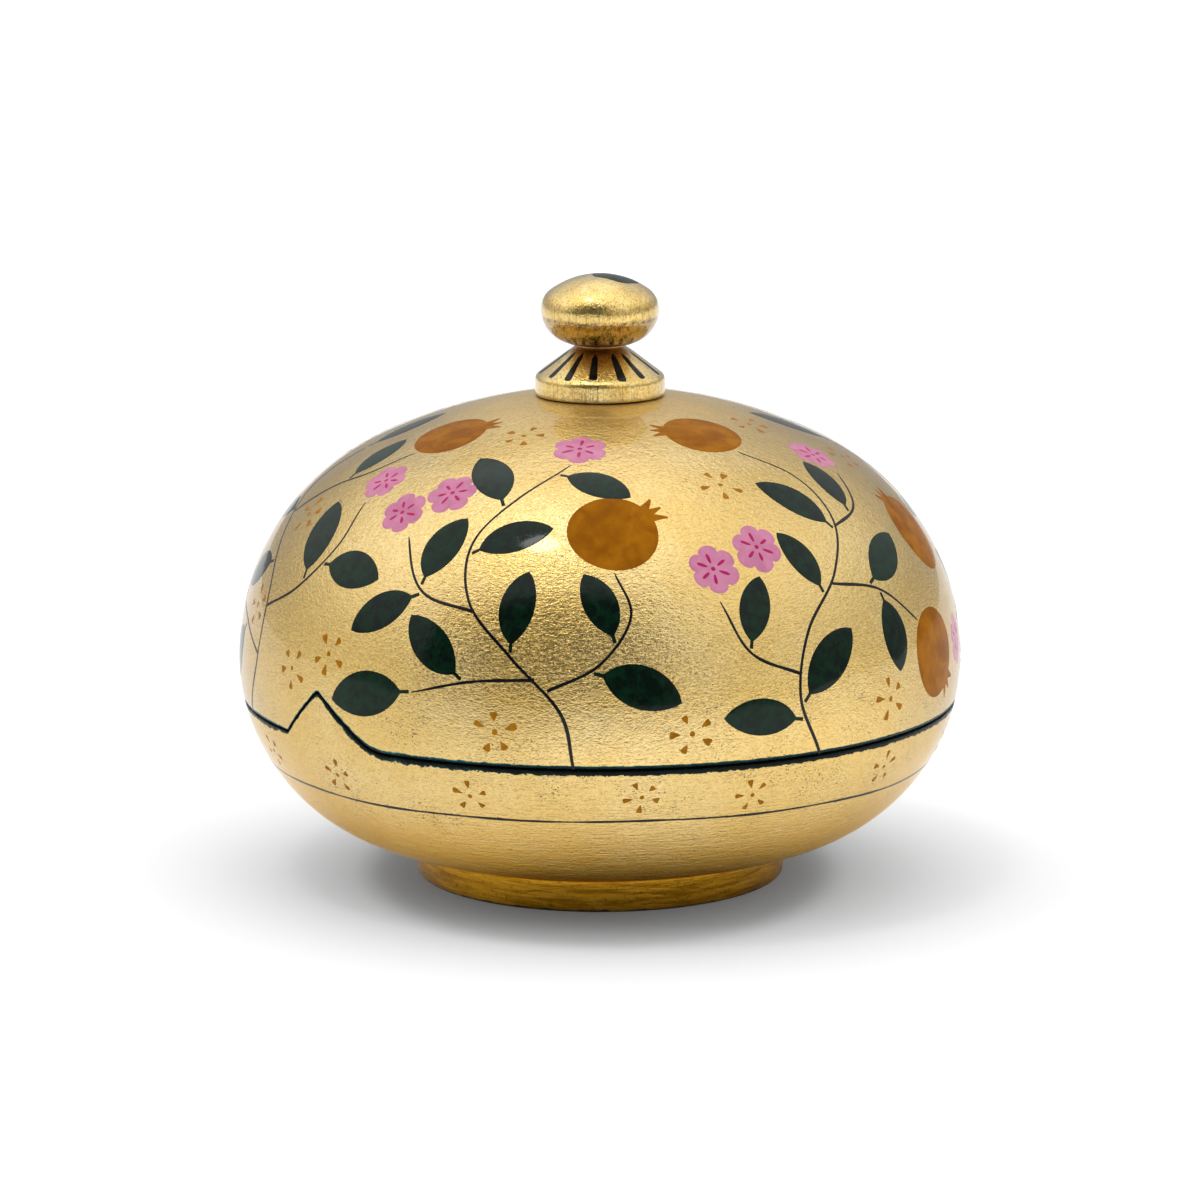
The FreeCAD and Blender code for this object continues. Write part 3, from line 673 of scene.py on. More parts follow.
def gilding(name, bowl, uneven, edge_highlight, glance):
    """Gold leaf under clear lacquer: crinkles, worn specks, and dark paint at a sawn rim.

    The paint is dark and even at the front, and ragged towards the tooth on the left. Along its outer edge
    a blue-green painted highlight stands for light caught on the eased rim. uneven and edge_highlight each
    hold the amount at the front and the amount near the tooth.
    """
    nodes = new_material(name)
    place = nodes.place()
    across, _, height = nodes.parts(place)
    crinkle = nodes.drawn(place, 1.0, 2.0, 2.0, 0.55, 0.8)
    grain = nodes.drawn(place, 1.6, 3.8, 1.0, 0.5, 0.5)
    fold = nodes.drawn(place, 0.192, 0.352, 3.0, 0.55, 0.6)
    broad = nodes.noise(place, 0.045, 3.0, 0.5)
    tone = nodes.mix(nodes.between(broad, 0.35, 0.7), GOLD, PALE_GOLD)
    tone = nodes.cover(tone, AMBER_GOLD, crinkle, 0.50, 0.72, 0.3)
    tone = nodes.cover(tone, AMBER_GOLD, grain, 0.48, 0.68, 0.45)
    layers = [(crinkle, 0.18), (grain, 0.07), (fold, 0.12)]
    coat = 0.85
    if bowl:
        streak = nodes.drawn(place, 0.2, 2.6, 3.0, 0.6, 0.4)
        low = nodes.times(nodes.between(height, 31.0, 7.0), nodes.between(streak, 0.2, 0.6))
        tone = nodes.mix(low, tone, LOW_AMBER)
        layers.append((streak, 0.20))
        coat = nodes.between(height, 12.0, 28.0, 0.0, 0.8)
    speck = nodes.drawn(place, 1.9, 3.2, 2.0, 0.65)
    hair = nodes.drawn(place, 0.3, 3.6, 2.0, 0.6, 0.5)
    near_rim = nodes.between(nodes.away(height, RIM), 20.0, 3.0, 0.0, 0.12)
    patch = nodes.plus(nodes.noise(place, 0.10, 3.0, 0.6), near_rim)
    worn = nodes.larger(nodes.between(speck, 0.59, 0.65), nodes.between(hair, 0.65, 0.70))
    worn = nodes.times(worn, nodes.between(patch, 0.58, 0.74, 0.0, WORN_SHARE))
    tone = nodes.mix(worn, tone, GROUND)
    ragged = nodes.minus(nodes.noise(place, 0.5, 4.0, 0.72), 0.5)
    ragged = nodes.times(ragged, nodes.between(across, -8.0, -38.0, *uneven))
    share = nodes.plus(nodes.mark("rim_share"), ragged)
    paint = nodes.between(share, 1.06, 0.94)
    # Painted highlight: a blue-green tint along the rim paint's outer edge, standing for light caught on
    # the eased rim.
    painted_edge_highlight = nodes.times(nodes.between(share, 0.50, 0.75), nodes.between(across, -8.0, -42.0, *edge_highlight))
    tone = nodes.mix(paint, tone, nodes.mix(painted_edge_highlight, RIM_PAINT, RIM_PAINTED_HIGHLIGHT))
    rough = nodes.between(fold, 0.25, 0.75, 0.20, 0.28)
    dull_crown = nodes.between(height, CROWN - 7.0, CROWN - 0.5, 0.0, 0.28)
    return nodes.surface({
        "Base Color": nodes.calm_bounce(tone),
        "Metallic": nodes.minus(1.0, nodes.plus(paint, worn, True), True),
        "Roughness": nodes.plus(rough, dull_crown),
        "Normal": nodes.relief(*layers),
        "Specular IOR Level": 0.1,
        "Specular Tint": glance,
        "Coat Weight": nodes.times(nodes.minus(1.0, paint), coat),
        "Coat Roughness": 0.03,
        "Coat IOR": 1.5,
    })


def knob_gilding():
    """Gold leaf on turned wood: fine upright scratches, a ragged leaf edge, amber shade below it and
    painted shade in the hollow neck.
    """
    nodes = new_material("knob_gilding")
    place = nodes.place()
    height = nodes.parts(place)["Z"]
    crinkle = nodes.noise(place, 1.1, 3.0, 0.55, 1.0)
    scratch = nodes.drawn(place, 4.2, 0.26, 2.0, 0.6)
    blotch = nodes.noise(place, 0.28, 3.0, 0.6)
    crack = nodes.drawn(place, 1.5, 0.7, 3.0, 0.7, 0.6)
    gaps = nodes.noise(place, 0.5, 3.0, 0.65)
    wander = nodes.times(nodes.noise(place, 0.5, 3.0, 0.6), 2.4)
    level = nodes.plus(height, wander)
    shade = nodes.between(level, BUN_CREASE + 1.9, BUN_CREASE + 0.9)
    under = nodes.times(shade, nodes.between(height, NECK_HEIGHT - 1.0, NECK_HEIGHT + 0.5))
    tone = nodes.mix(nodes.between(blotch, 0.35, 0.68), KNOB_GOLD, KNOB_DEEP)
    tone = nodes.mix(nodes.times(under, 0.85), tone, KNOB_UNDER)
    # Painted shade: a darker tone in the hollow neck between the skirt and the bun.
    tone = nodes.cover(tone, KNOB_NECK_PAINTED_SHADE, nodes.away(height, NECK_HEIGHT), 2.4, 0.7, 0.8)
    tone = nodes.cover(tone, KNOB_CRINKLE, crinkle, 0.48, 0.70, 0.55)
    tone = nodes.cover(tone, KNOB_SCRATCH, scratch, 0.53, 0.67, 0.65)
    tone = nodes.mix(nodes.times(under, nodes.between(crack, 0.49, 0.62, 0.0, 0.8)), tone, GROUND)
    crease = nodes.times(nodes.between(level, BUN_CREASE + 0.95, BUN_CREASE + 1.3),
                         nodes.between(level, BUN_CREASE + 1.75, BUN_CREASE + 1.4))
    crease = nodes.times(crease, nodes.between(gaps, 0.46, 0.60))
    tone = nodes.mix(crease, tone, KNOB_CREASE)
    seat = nodes.plus(height, nodes.times(wander, 0.25))
    tone = nodes.cover(tone, GROUND, seat, CROWN + 0.55, CROWN + 0.3, 0.35)
    return nodes.surface({
        "Base Color": nodes.calm_bounce(tone),
        "Metallic": nodes.minus(1.0, nodes.times(crease, 0.8)),
        "Roughness": nodes.between(blotch, 0.3, 0.7, 0.15, 0.26),
        "Normal": nodes.relief((crinkle, 0.10), (scratch, 0.05)),
        "Coat Weight": 1.0,
        "Coat Roughness": 0.03,
        "Coat IOR": 1.65,
    })


def foot_gilding():
    """Browner gold on the turned foot, with a painted contact shadow: a dark line along the table."""
    nodes = new_material("foot_gilding")
    place = nodes.place()
    streak = nodes.drawn(place, 0.11, 1.1, 4.0, 0.65, 0.5)
    crinkle = nodes.noise(place, 1.4, 4.0, 0.6, 0.8)
    tone = nodes.mix(nodes.between(streak, 0.3, 0.7), FOOT_DEEP, FOOT_GOLD)
    tone = nodes.cover(tone, FOOT_CRINKLE, crinkle, 0.52, 0.72, 0.8)
    # Painted shadow: a dark, wavering, less metallic line along the sole where the foot meets the table.
    wander = nodes.times(nodes.noise(place, 0.35, 3.0, 0.6), 0.9)
    sole_painted_shadow = nodes.between(nodes.plus(nodes.parts(place)["Z"], wander), 1.0, 0.7)
    tone = nodes.mix(sole_painted_shadow, tone, RIM_PAINT)
    return nodes.surface({
        "Base Color": nodes.calm_bounce(tone),
        "Metallic": nodes.minus(1.0, sole_painted_shadow),
        "Roughness": nodes.between(streak, 0.3, 0.7, 0.28, 0.42),
        "Normal": nodes.relief((crinkle, 0.06), (streak, 0.12)),
        "Coat Weight": 0.04,
        "Coat Roughness": 0.04,
        "Coat IOR": 1.5,
    })


def lacquer(name, dark, light, grain, roughness):
    """Hand-brushed dark lacquer for the inside and the collar."""
    nodes = new_material(name)
    place = nodes.place()
    brush = nodes.drawn(place, 0.12, 1.6, 3.0, 0.6, 0.2)
    fleck = nodes.noise(place, grain, 3.0, 0.6)
    tone = nodes.mix(nodes.between(brush, 0.3, 0.72), dark, light)
    return nodes.surface({
        "Base Color": nodes.cover(tone, light, fleck, 0.6, 0.8, 0.5),
        "Roughness": nodes.between(fleck, 0.3, 0.7, roughness - 0.05, roughness + 0.08),
        "Normal": nodes.relief((brush, 0.04)),
    })


def enamel(name, deep, bright, mottle, gloss, grain=0.5):
    """Paint under the lacquer, with mottling, a thicker edge and a tone of its own for each motif."""
    nodes = new_material(name)
    place = nodes.place()
    cloud = nodes.noise(place, grain, 4.0, 0.6, 0.4)
    fleck = nodes.noise(place, 3.1, 2.0, 0.6)
    lean = nodes.times(nodes.minus(nodes.mark("tint"), 0.5), 0.5)
    tone = nodes.mix(nodes.plus(nodes.between(cloud, 0.3, 0.7), lean, True), deep, bright)
    tone = nodes.cover(tone, deep, nodes.mark("edge"), 0.14, 0.0, 0.35)
    return nodes.surface({
        "Base Color": nodes.cover(tone, mottle, fleck, 0.66, 0.78, 0.6),
        "Roughness": nodes.between(cloud, 0.3, 0.7, 0.05, 0.09),
        "Specular IOR Level": gloss,
        "Normal": nodes.relief((cloud, 0.03)),
    })


# Skins of the turned pieces

shell = Shell(shell_profile(0), Ripple(11, 0.12, (2, 9), 0.22)).zero_at_widest()
lining = Turned(shell_profile(WALL)).zero_at_widest()

CREASE_DROP = 1.45
bun_reach = KNOB_NECK - BUN_RADIUS + BUN_UNDER
KNOB_EDGE = CROWN + KNOB_BAND
NECK_HEIGHT = KNOB_EDGE + KNOB_CONE
BUN_HEIGHT = NECK_HEIGHT + math.sqrt(BUN_UNDER**2 - bun_reach**2)
BUN_CREASE = BUN_HEIGHT - CREASE_DROP
BUN_CROWN = BUN_HEIGHT + cap_rise(BUN_RADIUS, BUN_SIDE, BUN_TOP)


def knob_profile():
    """Tenon, dished seat, eased band, conical skirt, hollow neck and bun, from the axis to the axis."""
    seat_radius = CROWN_RADIUS + GLUE
    seat_outer = math.acos(KNOB_BASE / seat_radius)
    seat_inner = math.acos(TENON / seat_radius)
    seat = arc_run(CROWN_CENTRE, seat_radius, seat_inner, seat_outer, 1.0)
    tenon_end = CROWN - WALL
    edge_low, edge_high, neck = seat[-1], (KNOB_BASE, KNOB_EDGE), (KNOB_NECK, NECK_HEIGHT)
    under_centre = (BUN_RADIUS - BUN_UNDER, BUN_HEIGHT)
    side_centre = (BUN_RADIUS - BUN_SIDE, BUN_HEIGHT)
    top_centre = (0.0, BUN_CROWN - BUN_TOP)
    under_start = math.atan2(NECK_HEIGHT - BUN_HEIGHT, KNOB_NECK - under_centre[0])
    side_end = math.atan2(side_centre[1] - top_centre[1], side_centre[0])
    under = arc_run(under_centre, BUN_UNDER, under_start + KNOB_NECK_EASE / BUN_UNDER, 0)
    low_ease = bend_run(seat[-2], edge_low, towards(edge_low, edge_high, KNOB_SEAT_ROUND))
    skirt_ease = KNOB_SKIRT_ROUND * math.tan(math.atan2(KNOB_BASE - KNOB_NECK, KNOB_CONE) / 2)
    skirt_start, skirt_end = (towards(edge_high, other, skirt_ease) for other in (edge_low, neck))
    high_ease = bend_run(skirt_start, edge_high, skirt_end)
    neck_ease = bend_run(towards(neck, edge_high, KNOB_NECK_EASE), neck, under[0])
    return chain(
        line_run((0.0, tenon_end), (TENON, tenon_end), 2.0),
        line_run((TENON, tenon_end), seat[0], 2.0),
        seat[:-1],
        low_ease,
        line_run(low_ease[-1], high_ease[0]),
        high_ease,
        line_run(high_ease[-1], neck_ease[0]),
        neck_ease,
        under,
        arc_run(side_centre, BUN_SIDE, 0, side_end),
        arc_run(top_centre, BUN_TOP, side_end, QUARTER_TURN),
    )


def foot_profile():
    """Sole, bore, dished seat and eased flank, as a closed loop."""
    radius = UNDERSIDE_RADIUS + GLUE
    inner, outer = FOOT_RADIUS - FOOT_WIDTH, FOOT_RADIUS - FOOT_TAPER
    start, end = (-math.acos(distance / radius) for distance in (inner, FOOT_RADIUS))
    seat = arc_run(UNDERSIDE_CENTRE, radius, start, end, 0.8)
    top, base = seat[-1], (outer, 0.0)
    top_ease = bend_run(towards(top, seat[-3], FOOT_ROUND), top, towards(top, base, FOOT_ROUND))
    base_ease = bend_run(towards(base, top, FOOT_ROUND), base, (outer - FOOT_ROUND, 0.0))
    kept = seat[seat[:, 0] < top_ease[0][0] - 0.1]
    return chain(
        line_run(base_ease[-1], (inner, 0.0), 1.2),
        line_run((inner, 0.0), seat[0], 1.0),
        kept,
        np.vstack((kept[-1:], top_ease)),
        line_run(top_ease[-1], base_ease[0]),
        base_ease,
    )


def collar_profile():
    """Card collar: glued face, upright wall, rounded lip and inner face, as a closed loop."""
    radius = BOWL_SHOULDER - WALL - GLUE
    bore = math.sqrt((BOWL_SHOULDER - WALL) ** 2 - (PARTING_DROP - RIM_GAP) ** 2)
    outer = BODY_RADIUS - BOWL_SHOULDER + bore - COLLAR_CLEARANCE
    inner = outer - COLLAR
    lip, hem = RIM + COLLAR_RISE - COLLAR / 2, RIM - COLLAR_DROP

    def face(arc_radius, distance):
        start = math.asin((hem - EQUATOR) / arc_radius)
        end = -math.acos(min((distance - BOWL_CENTRE[0]) / arc_radius, 1))
        return arc_run(BOWL_CENTRE, arc_radius, start, end, 0.8)

    outside, inside = face(radius, outer), face(radius - COLLAR, inner)
    return chain(
        outside,
        line_run(outside[-1], (outer, lip), 0.8),
        arc_run(((outer + inner) / 2, lip), COLLAR / 2, 0, math.pi, 0.25),
        line_run((inner, lip), inside[-1], 0.8),
        inside[::-1],
        line_run(inside[0], outside[0], 0.6),
    )


knob_skin = Knob(knob_profile(), Ripple(23, 0.08, (2, 7), 0.9), calm=6.0)
foot_skin = Turned(foot_profile())
collar_skin = Turned(collar_profile())

# Main pieces

dark_lacquer = lacquer("inside_lacquer", (0.006, 0.018, 0.016), (0.014, 0.040, 0.034), 0.5, 0.22)
collar_lacquer = lacquer("collar_lacquer", (0.008, 0.020, 0.018), (0.020, 0.050, 0.042), 0.8, 0.30)
lid_gold = gilding("lid_gilding", False, (0.7, 1.4), (0.5, 1.0), LID_GLANCE)
bowl_gold = gilding("bowl_gilding", True, (1.5, 2.5), (0.08, 0.35), BOWL_GLANCE)

lid = half_shell("gilded_lid", True, [lid_gold, dark_lacquer], "lid", LID_RIM_PAINT)
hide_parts("lid_shell")
bowl = half_shell("gilded_bowl", False, [bowl_gold, dark_lacquer], "base", BOWL_RIM_PAINT)
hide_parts("base_bowl")
knob = turned_piece("turned_knob", knob_skin, 160, [knob_gilding()], "lid", False, 55)
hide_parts("lid_knob")
foot = turned_piece("turned_foot", foot_skin, 256, [foot_gilding()], "base", True)
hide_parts("foot_ring")
collar = turned_piece("card_collar", collar_skin, 320, [collar_lacquer], "base", True)
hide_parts("inner_collar")

# Painted branches of the lid, each in a sector of its own. Places are degrees off the sector's middle
# and length s up from the widest line. Leaves are (stem, share along it, spread, length, bend), and a
# leaf grows to the side of its bend. Fruits end in their radius and turn, blossoms in their radius.

BRANCHES = [
    {
        "stems": [
            [(14, -7.6), (12, 3), (4, 13), (-4, 23), (-6, 35), (0, 46), (10, 57)],
            [(10, 7), (18, 12), (23, 21), (20.5, 29.5)],
            [(-3, 21), (-13, 24), (-20, 34.5)],
            [(8, 9), (-2, 8), (-12, 5)],
        ],
        "leaves": [
            (0, 0.33, 47, 17.0, -0.25), (0, 0.62, 55, 16.5, -0.25), (0, 0.78, 58, 17.5, 0.20),
            (0, 0.95, 66, 15.0, -0.20), (1, 0.28, 50, 17.0, -0.20), (1, 0.50, 52, 14.5, 0.25),
            (2, 0.45, 60, 17.0, 0.20), (2, 0.50, 66, 16.5, -0.25), (3, 0.58, 58, 16.5, -0.20),
            (3, 0.98, -4, 19.0, 0.20),
        ],
        "fruits": [(20.5, 38.3, 8.6, 35)],
        "blossoms": [(-25, 39.5, 5.0), (-16.2, 46, 4.9), (11.5, 63, 5.0)],
        "sprigs": [(2, -1), (-29, 9.5), (-11, 67)],
    },
    {
        "stems": [
            [(-6, -7.6), (-10, 4), (-7, 16), (2, 26), (9, 37), (9, 49), (1.5, 58.5)],
            [(-9.5, 8), (-18, 13), (-22, 23)],
            [(0, 24), (11, 21), (19.5, 13)],
            [(8, 35), (18, 38), (25, 46)],
        ],
        "leaves": [
            (0, 0.10, 55, 17.5, 0.20), (0, 0.14, 58, 18.5, -0.25), (0, 0.43, 64, 14.5, 0.25),
            (0, 0.64, 58, 18.0, 0.25), (1, 0.52, 62, 15.0, -0.20), (2, 0.40, 50, 18.0, 0.20),
            (2, 0.50, 60, 16.0, -0.20), (3, 0.36, 62, 14.5, 0.20),
        ],
        "fruits": [(24, 6, 8.6, -50), (-2, 66.5, 7.8, 150)],
        "blossoms": [(-22, 29.5, 5.1), (-12.4, 33.2, 4.9), (26.5, 52, 4.9)],
        "sprigs": [(9, 0.2), (-28, -1.2), (-13, 49), (27, 66)],
    },
    {
        "stems": [
            [(4, -7.6), (9, 4), (8, 17), (0, 28), (-8, 38), (-8, 50)],
            [(8.5, 14), (18, 20), (24, 30), (23, 40)],
            [(9, 5), (-2, 10), (-12, 11), (-18.5, 8)],
            [(-3, 32), (6, 41), (14, 47), (19, 55)],
        ],
        "leaves": [
            (0, 0.50, 66, 16.5, 0.25), (0, 0.70, 50, 12.6, 0.20), (0, 0.99, 10, 17.5, 0.20),
            (1, 0.42, 58, 18.0, 0.25), (1, 0.56, 55, 16.5, -0.20), (2, 0.32, 62, 17.0, 0.20),
            (2, 0.64, 50, 13.5, -0.25), (3, 0.50, 64, 14.5, 0.20),
        ],
        "fruits": [(-25, 28.5, 8.5, 100), (20, 63, 7.6, 60)],
        "blossoms": [(22.5, 46, 4.9), (-23, 5.5, 4.9), (-15, 0.2, 4.6)],
        "sprigs": [(22, 5), (4.4, 13.4), (6.5, 33.5), (-21, 48)],
    },
]
SECTOR = 60
FIRST_SECTOR = -18
LID_SPRIG = 4.1
BOWL_SPRIG = 3.4
BOWL_SPRIGS = 15
BOWL_LINE_HEIGHT = 24.6
KNOB_STROKES = 14
BLOSSOM_STROKE = np.array([0.14, 0.24, 0.3, 0.33, 0.33, 0.28, 0.12])
SPRIG_WEDGE = np.array([0.15, 0.4, 0.65, 0.9, 1.0, 0.8])

leaf_paint = Paint(shell, 31)
stem_paint = Paint(shell, 32, 0.005)
fruit_paint = Paint(shell, 33)
blossom_paint = Paint(shell, 34)
stroke_paint = Paint(shell, 35, 0.025)
sprig_paint = Paint(shell, 36, -0.005)
bowl_sprig_paint = Paint(shell, 37, -0.005)
line_paint = Paint(shell, 38)
mood = random.Random(5)


def wobble(count, amount, start, end):
    """A brush width that runs from start to end and wavers."""
    share = np.linspace(0, 1, count)
    waver = sum(np.sin(share * mood.uniform(6, 30) + mood.uniform(0, 6)) for _ in range(3)) / 3
    return (start + (end - start) * share) * (1 + amount * waver)


def paint_leaf(s, azimuth, turn, length, bend):
    """A lance-shaped leaf on a short stalk, pointing along turn."""
    share = np.linspace(0, 1, 21)
    heading = bend * (share - 0.3)
    step = length / (len(share) - 1)
    path = np.cumsum(ray(step, heading), axis=0)
    body = np.clip((share - 0.1) / 0.9, 0, 1)
    width = length * mood.uniform(0.205, 0.245)
    swell = body**0.72 * (1 - body) ** 0.78
    half = np.maximum(width * swell / np.max(swell), 0.36 - 0.3 * share)
    leaf_paint.stroke(s, azimuth, turn, path, half)


def paint_fruit(s, azimuth, radius, turn):
    """A round fruit with a small three-pointed crown."""
    angle = round_angles(56)
    oval, blunt = mood.uniform(0, 6), mood.uniform(0, 6)
    outline = radius * (1 + 0.025 * np.cos(2 * angle + oval) + 0.012 * np.cos(3 * angle + blunt))
    fruit_paint.disc(s, azimuth, turn, outline)
    for lean in (-0.42, 0.0, 0.42):
        reach = np.linspace(radius * 0.9, radius + 2.6, 9)
        bearing = lean * np.linspace(0.33, 0.6, 9)
        fruit_paint.stroke(s, azimuth, turn, ray(reach, bearing), np.linspace(1.15, 0.2, 9))


def paint_blossom(s, azimuth, radius):
    """Six rounded petals with a stroke on each and a dot in the middle."""
    turn = mood.uniform(0, 1)
    angle = round_angles(72)
    petals = 0.76 + 0.24 * np.abs(np.cos(3 * angle)) ** 0.55
    uneven = 1 + 0.05 * np.cos(angle + mood.uniform(0, 6)) + 0.03 * np.cos(2 * angle + mood.uniform(0, 6))
    blossom_paint.disc(s, azimuth, turn, radius * petals * uneven, (1.0, 0.92, 0.75, 0.5, 0.25))
    for petal in range(6):
        lean = petal * math.pi / 3 + mood.uniform(-0.12, 0.12)
        reach = np.linspace(radius * 0.24, radius * mood.uniform(0.56, 0.68), 7)
        stroke_paint.stroke(s, azimuth, turn, ray(reach, lean), BLOSSOM_STROKE)
    stroke_paint.disc(s, azimuth, turn, np.full(14, radius * 0.09), (1.0, 0.5))


def paint_sprig(paint, s, azimuth, size):
    """A loose star of five short wedges, broad end out, round a dot."""
    turn = mood.uniform(0, 2)
    for wedge in range(5):
        lean = wedge * FULL_TURN / 5 + mood.uniform(-0.18, 0.18)
        inner, outer = size * mood.uniform(0.46, 0.58), size * mood.uniform(0.92, 1.08)
        reach = np.linspace(inner, outer, 6)
        broad = size * mood.uniform(0.14, 0.19)
        paint.stroke(s, azimuth, turn, ray(reach, lean), SPRIG_WEDGE * broad)
    paint.disc(s, azimuth, turn, np.full(12, size * mood.uniform(0.12, 0.15)), (1.0, 0.5))


for sector in range(360 // SECTOR):
    middle = math.radians(FIRST_SECTOR + sector * SECTOR)
    branch = BRANCHES[sector % len(BRANCHES)]
    paths = []
    for stem in branch["stems"]:
        azimuth, s = smooth_path(stem)
        azimuth = azimuth + middle
        paths.append((azimuth, s))
        thick = wobble(len(s), 0.16, 0.33, 0.21)
        thick[-3:] *= np.array([0.8, 0.6, 0.35])
        stem_paint.strip(s, azimuth, thick)
    for stem, share, spread, length, bend in branch["leaves"]:
        azimuth, s = paths[stem]
        spot = int(share * (len(s) - 1))
        after, before = min(spot + 2, len(s) - 1), max(spot - 2, 0)
        run = (azimuth[after] - azimuth[before]) * shell.radius(s[spot])
        heading = math.atan2(s[after] - s[before], run)
        turn = heading + math.copysign(1, bend) * math.radians(spread + mood.uniform(-5, 5))
        paint_leaf(s[spot], azimuth[spot], turn, length * mood.uniform(0.96, 1.04), bend)
    for degrees, s, radius, turn in branch["fruits"]:
        size = radius * mood.uniform(0.97, 1.03)
        paint_fruit(s, middle + math.radians(degrees), size, math.radians(turn))
    for degrees, s, radius in branch["blossoms"]:
        paint_blossom(s, middle + math.radians(degrees), radius * mood.uniform(0.96, 1.04))
    for degrees, s in branch["sprigs"]:
        paint_sprig(sprig_paint, s, middle + math.radians(degrees), LID_SPRIG)

for i in range(BOWL_SPRIGS):
    bearing = FULL_TURN * (i + mood.uniform(-0.15, 0.15)) / BOWL_SPRIGS + 0.06
    paint_sprig(bowl_sprig_paint, mood.uniform(-14.8, -13.6), bearing, BOWL_SPRIG)

round_azimuth = round_angles(720)
line_s = np.interp(BOWL_LINE_HEIGHT, shell.z, shell.s)
line_s = line_s + 0.18 * np.sin(3 * round_azimuth + 1) + 0.1 * np.sin(11 * round_azimuth)
line_width = 0.26 + 0.05 * np.sin(17 * round_azimuth) + 0.03 * np.sin(41 * round_azimuth + 2)
line_paint.strip(line_s, round_azimuth, line_width, closed=True)

knob_paint = Paint(knob_skin, 39)
spot_paint = Paint(knob_skin, 40)
skirt = slice(np.argmin(np.abs(knob_skin.z - BUN_HEIGHT)))
skirt_low = np.interp(KNOB_EDGE + 0.1, knob_skin.z[skirt], knob_skin.s[skirt])
for i in range(KNOB_STROKES):
    bearing = FULL_TURN * (i + mood.uniform(-0.12, 0.12)) / KNOB_STROKES - 0.08
    start, end = skirt_low + mood.uniform(0.5, 1.1), skirt_low + mood.uniform(7.9, 8.7)
    s = np.linspace(start, end, 16)
    share = np.linspace(0, 1, 16)
    broad = mood.uniform(0.78, 0.96)
    half = broad * np.minimum(1, np.minimum((share + 0.08) * 8, (1.05 - share) * 5)) * (1 - 0.42 * share)
    knob_paint.strip(s, bearing + mood.uniform(-0.06, 0.06) * share, half)
angle = round_angles(40)
blot = 4.5 * (1 + 0.08 * np.cos(2 * angle + 1) + 0.06 * np.cos(5 * angle))
spot_paint.disc(knob_skin.s[-1] - 2.8, QUARTER_TURN, 0, blot)

# Paint pieces

green = enamel("leaf_green", (0.0008, 0.006, 0.0035), (0.002, 0.026, 0.010), (0.010, 0.042, 0.024), 0.2)
ink = enamel("stem_ink", (0.003, 0.004, 0.004), (0.006, 0.007, 0.008), (0.010, 0.012, 0.012), 0.25)
ochre = enamel("fruit_ochre", (0.28, 0.088, 0.001), (0.44, 0.158, 0.003), (0.23, 0.068, 0.001), 0.03, 0.22)
pink = enamel("blossom_pink", (0.59, 0.195, 0.335), (0.73, 0.275, 0.43), (0.61, 0.185, 0.29), 0.1, 0.35)
magenta = enamel("blossom_magenta", (0.44, 0.003, 0.10), (0.55, 0.004, 0.14), (0.40, 0.003, 0.08), 0.2, 0.8)
umber = enamel("sprig_ochre", (0.36, 0.14, 0.004), (0.49, 0.205, 0.010), (0.28, 0.10, 0.004), 0.04, 0.9)

leaf_paint.piece("lid_leaves", green, "lid", "gilded_shell")
stem_paint.piece("lid_stems", ink, "lid", "gilded_shell")
fruit_paint.piece("lid_fruits", ochre, "lid", "gilded_shell")
blossom_paint.piece("lid_blossoms", pink, "lid", "gilded_shell")
stroke_paint.piece("lid_blossom_strokes", magenta, "lid", "gilded_shell")
sprig_paint.piece("lid_sprigs", umber, "lid", "gilded_shell")
bowl_sprig_paint.piece("bowl_sprigs", umber, "base", "gilded_shell")
line_paint.piece("bowl_line", ink, "base", "gilded_shell")
knob_paint.piece("knob_strokes", ink, "lid", "turned_wood")
spot_paint.piece("knob_spot", green, "lid", "turned_wood")

# Floor, light and camera

FLOOR_SIDE, FLOOR_FRONT, FLOOR_BACK = 2.5, -0.36, 3.5
PAPER = (0.97, 0.97, 0.97, 1)
WHITE = (1, 1, 1, 1)
CEILING_LEVEL = 1.40
OPENING_LEVEL = 0.14
GROUND_LEVEL = 1.0
LAMP_LEVEL = 9.0
CAMERA_PLACE = (0, -1.1, 0.274)
CAMERA_DIP = math.radians(11.34)
CAMERA_LENS = 173.5
LAMP_WAY = (-0.2355, -0.1784, 0.9555)
LAMP_CORE, LAMP_EDGE = math.cos(math.radians(3.4)), math.cos(math.radians(5.0))


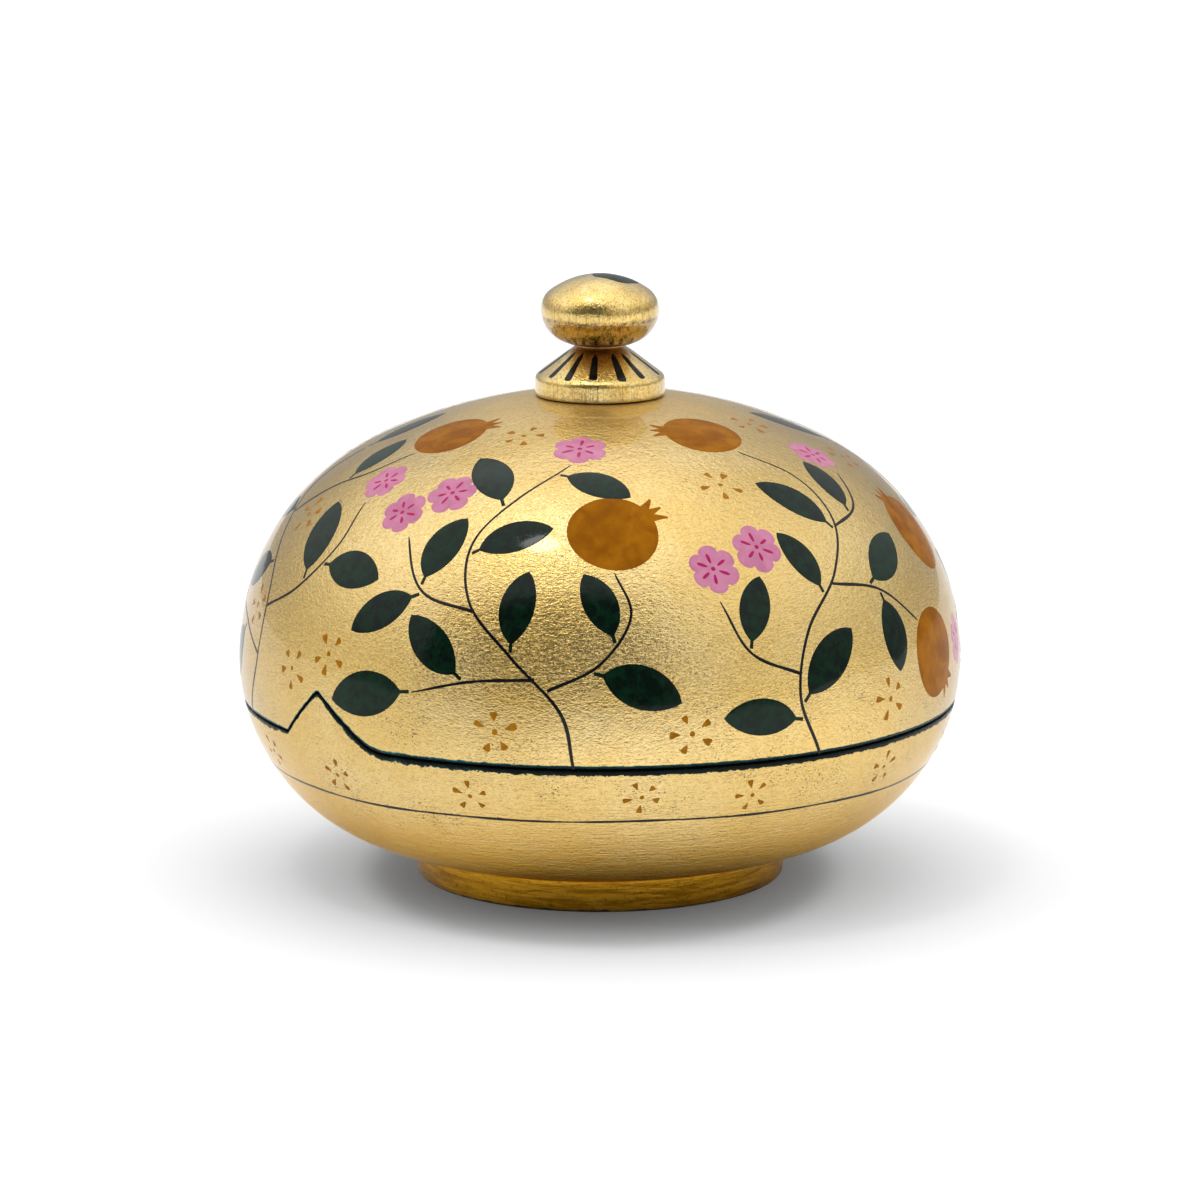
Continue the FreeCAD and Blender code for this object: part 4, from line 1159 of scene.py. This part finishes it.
def floor_paper():
    """White paper that keeps the shadow, with painted light: the camera sees a glow round the shadow's
    core, and mirrors see a glow where it faces the front, off the shadow.
    """
    nodes = new_material("floor_paper")
    rays = nodes.add("ShaderNodeLightPath").outputs
    mirrored = nodes.plus(rays["Is Glossy Ray"], rays["Is Transmission Ray"], True)
    spot = nodes.add("ShaderNodeTexCoord").outputs["Object"]
    across, along, _ = nodes.parts(spot)
    oval = nodes.stretch(spot, (1.35, 1, 0))
    reach = nodes.add("ShaderNodeVectorMath", {0: oval}, operation="LENGTH").outputs["Value"]
    # Painted light: emission for camera rays, weak over the shadow's core and stronger round it, and for
    # mirror rays, in front of the box and off the shadow.
    unshaded = nodes.between(nodes.between(reach, 0.052, 0.070), 0.0, 1.0, 0.04, 0.18)
    lifted = nodes.between(nodes.minus(reach, nodes.times(across, 0.22)), 0.037, 0.070)
    near = nodes.between(reach, 0.135, 0.08, 0.0, 0.36)
    right = nodes.between(across, -0.07, 0.0, 0.05, 0.32)
    facing = nodes.times(nodes.between(along, 0.03, -0.05), nodes.larger(near, right))
    facing = nodes.larger(facing, nodes.between(reach, 0.16, 0.10, 0.0, 0.22))
    painted_glow_strength = nodes.times(rays["Is Camera Ray"], unshaded)
    painted_glow_strength = nodes.plus(painted_glow_strength, nodes.times(mirrored, nodes.times(lifted, facing)))
    paper = nodes.add("ShaderNodeBsdfDiffuse", {"Color": PAPER})
    glow = nodes.add("ShaderNodeEmission", {"Strength": painted_glow_strength})
    both = nodes.add("ShaderNodeAddShader", {0: paper.outputs[0], 1: glow.outputs[0]})
    nodes.add("ShaderNodeOutputMaterial", {"Surface": both.outputs[0]})
    return nodes.owner


def studio():
    """Pale walls, bright ceiling, a dark opening at the front left and a lamp; white to the camera."""
    nodes = Nodes(bpy.data.worlds.new("studio"))
    way = nodes.add("ShaderNodeTexCoord").outputs["Generated"]
    side, depth, climb = nodes.parts(way)
    above = nodes.larger(climb, 0.03)
    ahead = nodes.larger(nodes.times(depth, -1.0), 0.01)
    walls = nodes.between(side, -0.15, 0.15, 1.20, 1.05)
    walls = nodes.times(walls, nodes.between(climb, 0.05, 0.65, 0.40, 1.08))
    off_side = nodes.larger(nodes.away(side, 0.0), 0.02)
    behind = nodes.between(nodes.ratio(depth, off_side), 0.1, 1.9)
    level = nodes.blend(behind, walls, nodes.between(climb, 0.15, 0.64, 0.42, 0.76))
    off_ceiling = nodes.away(nodes.ratio(side, above), -0.06)
    ceiling = nodes.between(nodes.ratio(depth, above), 1.10, 0.80)
    ceiling = nodes.times(ceiling, nodes.between(off_ceiling, 0.55, 0.25))
    level = nodes.blend(ceiling, level, CEILING_LEVEL)
    off_opening = nodes.away(nodes.ratio(side, ahead), -0.62)
    opening = nodes.between(nodes.ratio(climb, ahead), 1.58, 0.98)
    opening = nodes.times(opening, nodes.between(off_opening, 1.15, 0.88))
    opening = nodes.times(opening, nodes.between(depth, 0.09, -0.09))
    level = nodes.blend(opening, level, OPENING_LEVEL)
    level = nodes.blend(nodes.between(climb, 0.0, -0.1), level, GROUND_LEVEL)
    lamp = nodes.add("ShaderNodeVectorMath", {0: way, 1: LAMP_WAY}, operation="DOT_PRODUCT")
    hot = nodes.between(lamp.outputs["Value"], LAMP_EDGE, LAMP_CORE, 0.0, LAMP_LEVEL)
    level = nodes.plus(level, hot)
    camera_ray = nodes.add("ShaderNodeLightPath").outputs["Is Camera Ray"]
    room = nodes.add("ShaderNodeBackground", {"Color": level}).outputs[0]
    white = nodes.add("ShaderNodeBackground", {"Color": WHITE}).outputs[0]
    shown = nodes.add("ShaderNodeMixShader", {0: camera_ray, 1: room, 2: white})
    nodes.add("ShaderNodeOutputWorld", {"Surface": shown.outputs[0]})
    return nodes.owner


floor_mesh = bpy.data.meshes.new("floor")
front, back = ([(x, y, 0) for x in (-FLOOR_SIDE, FLOOR_SIDE)] for y in (FLOOR_FRONT, FLOOR_BACK))
floor_mesh.from_pydata([*front, *back[::-1]], [], [(0, 1, 2, 3)])
floor_mesh.materials.append(floor_paper())
floor = new_object("floor", floor_mesh)

bpy.context.scene.world = studio()
camera = new_object("camera", bpy.data.cameras.new("camera"))
camera.location = CAMERA_PLACE
camera.rotation_euler = (QUARTER_TURN - CAMERA_DIP, 0, 0)
camera.data.sensor_width = 36
camera.data.lens = CAMERA_LENS
camera.data.clip_end = 20
bpy.context.scene.camera = camera
bpy.context.scene.view_settings.view_transform = "Standard"
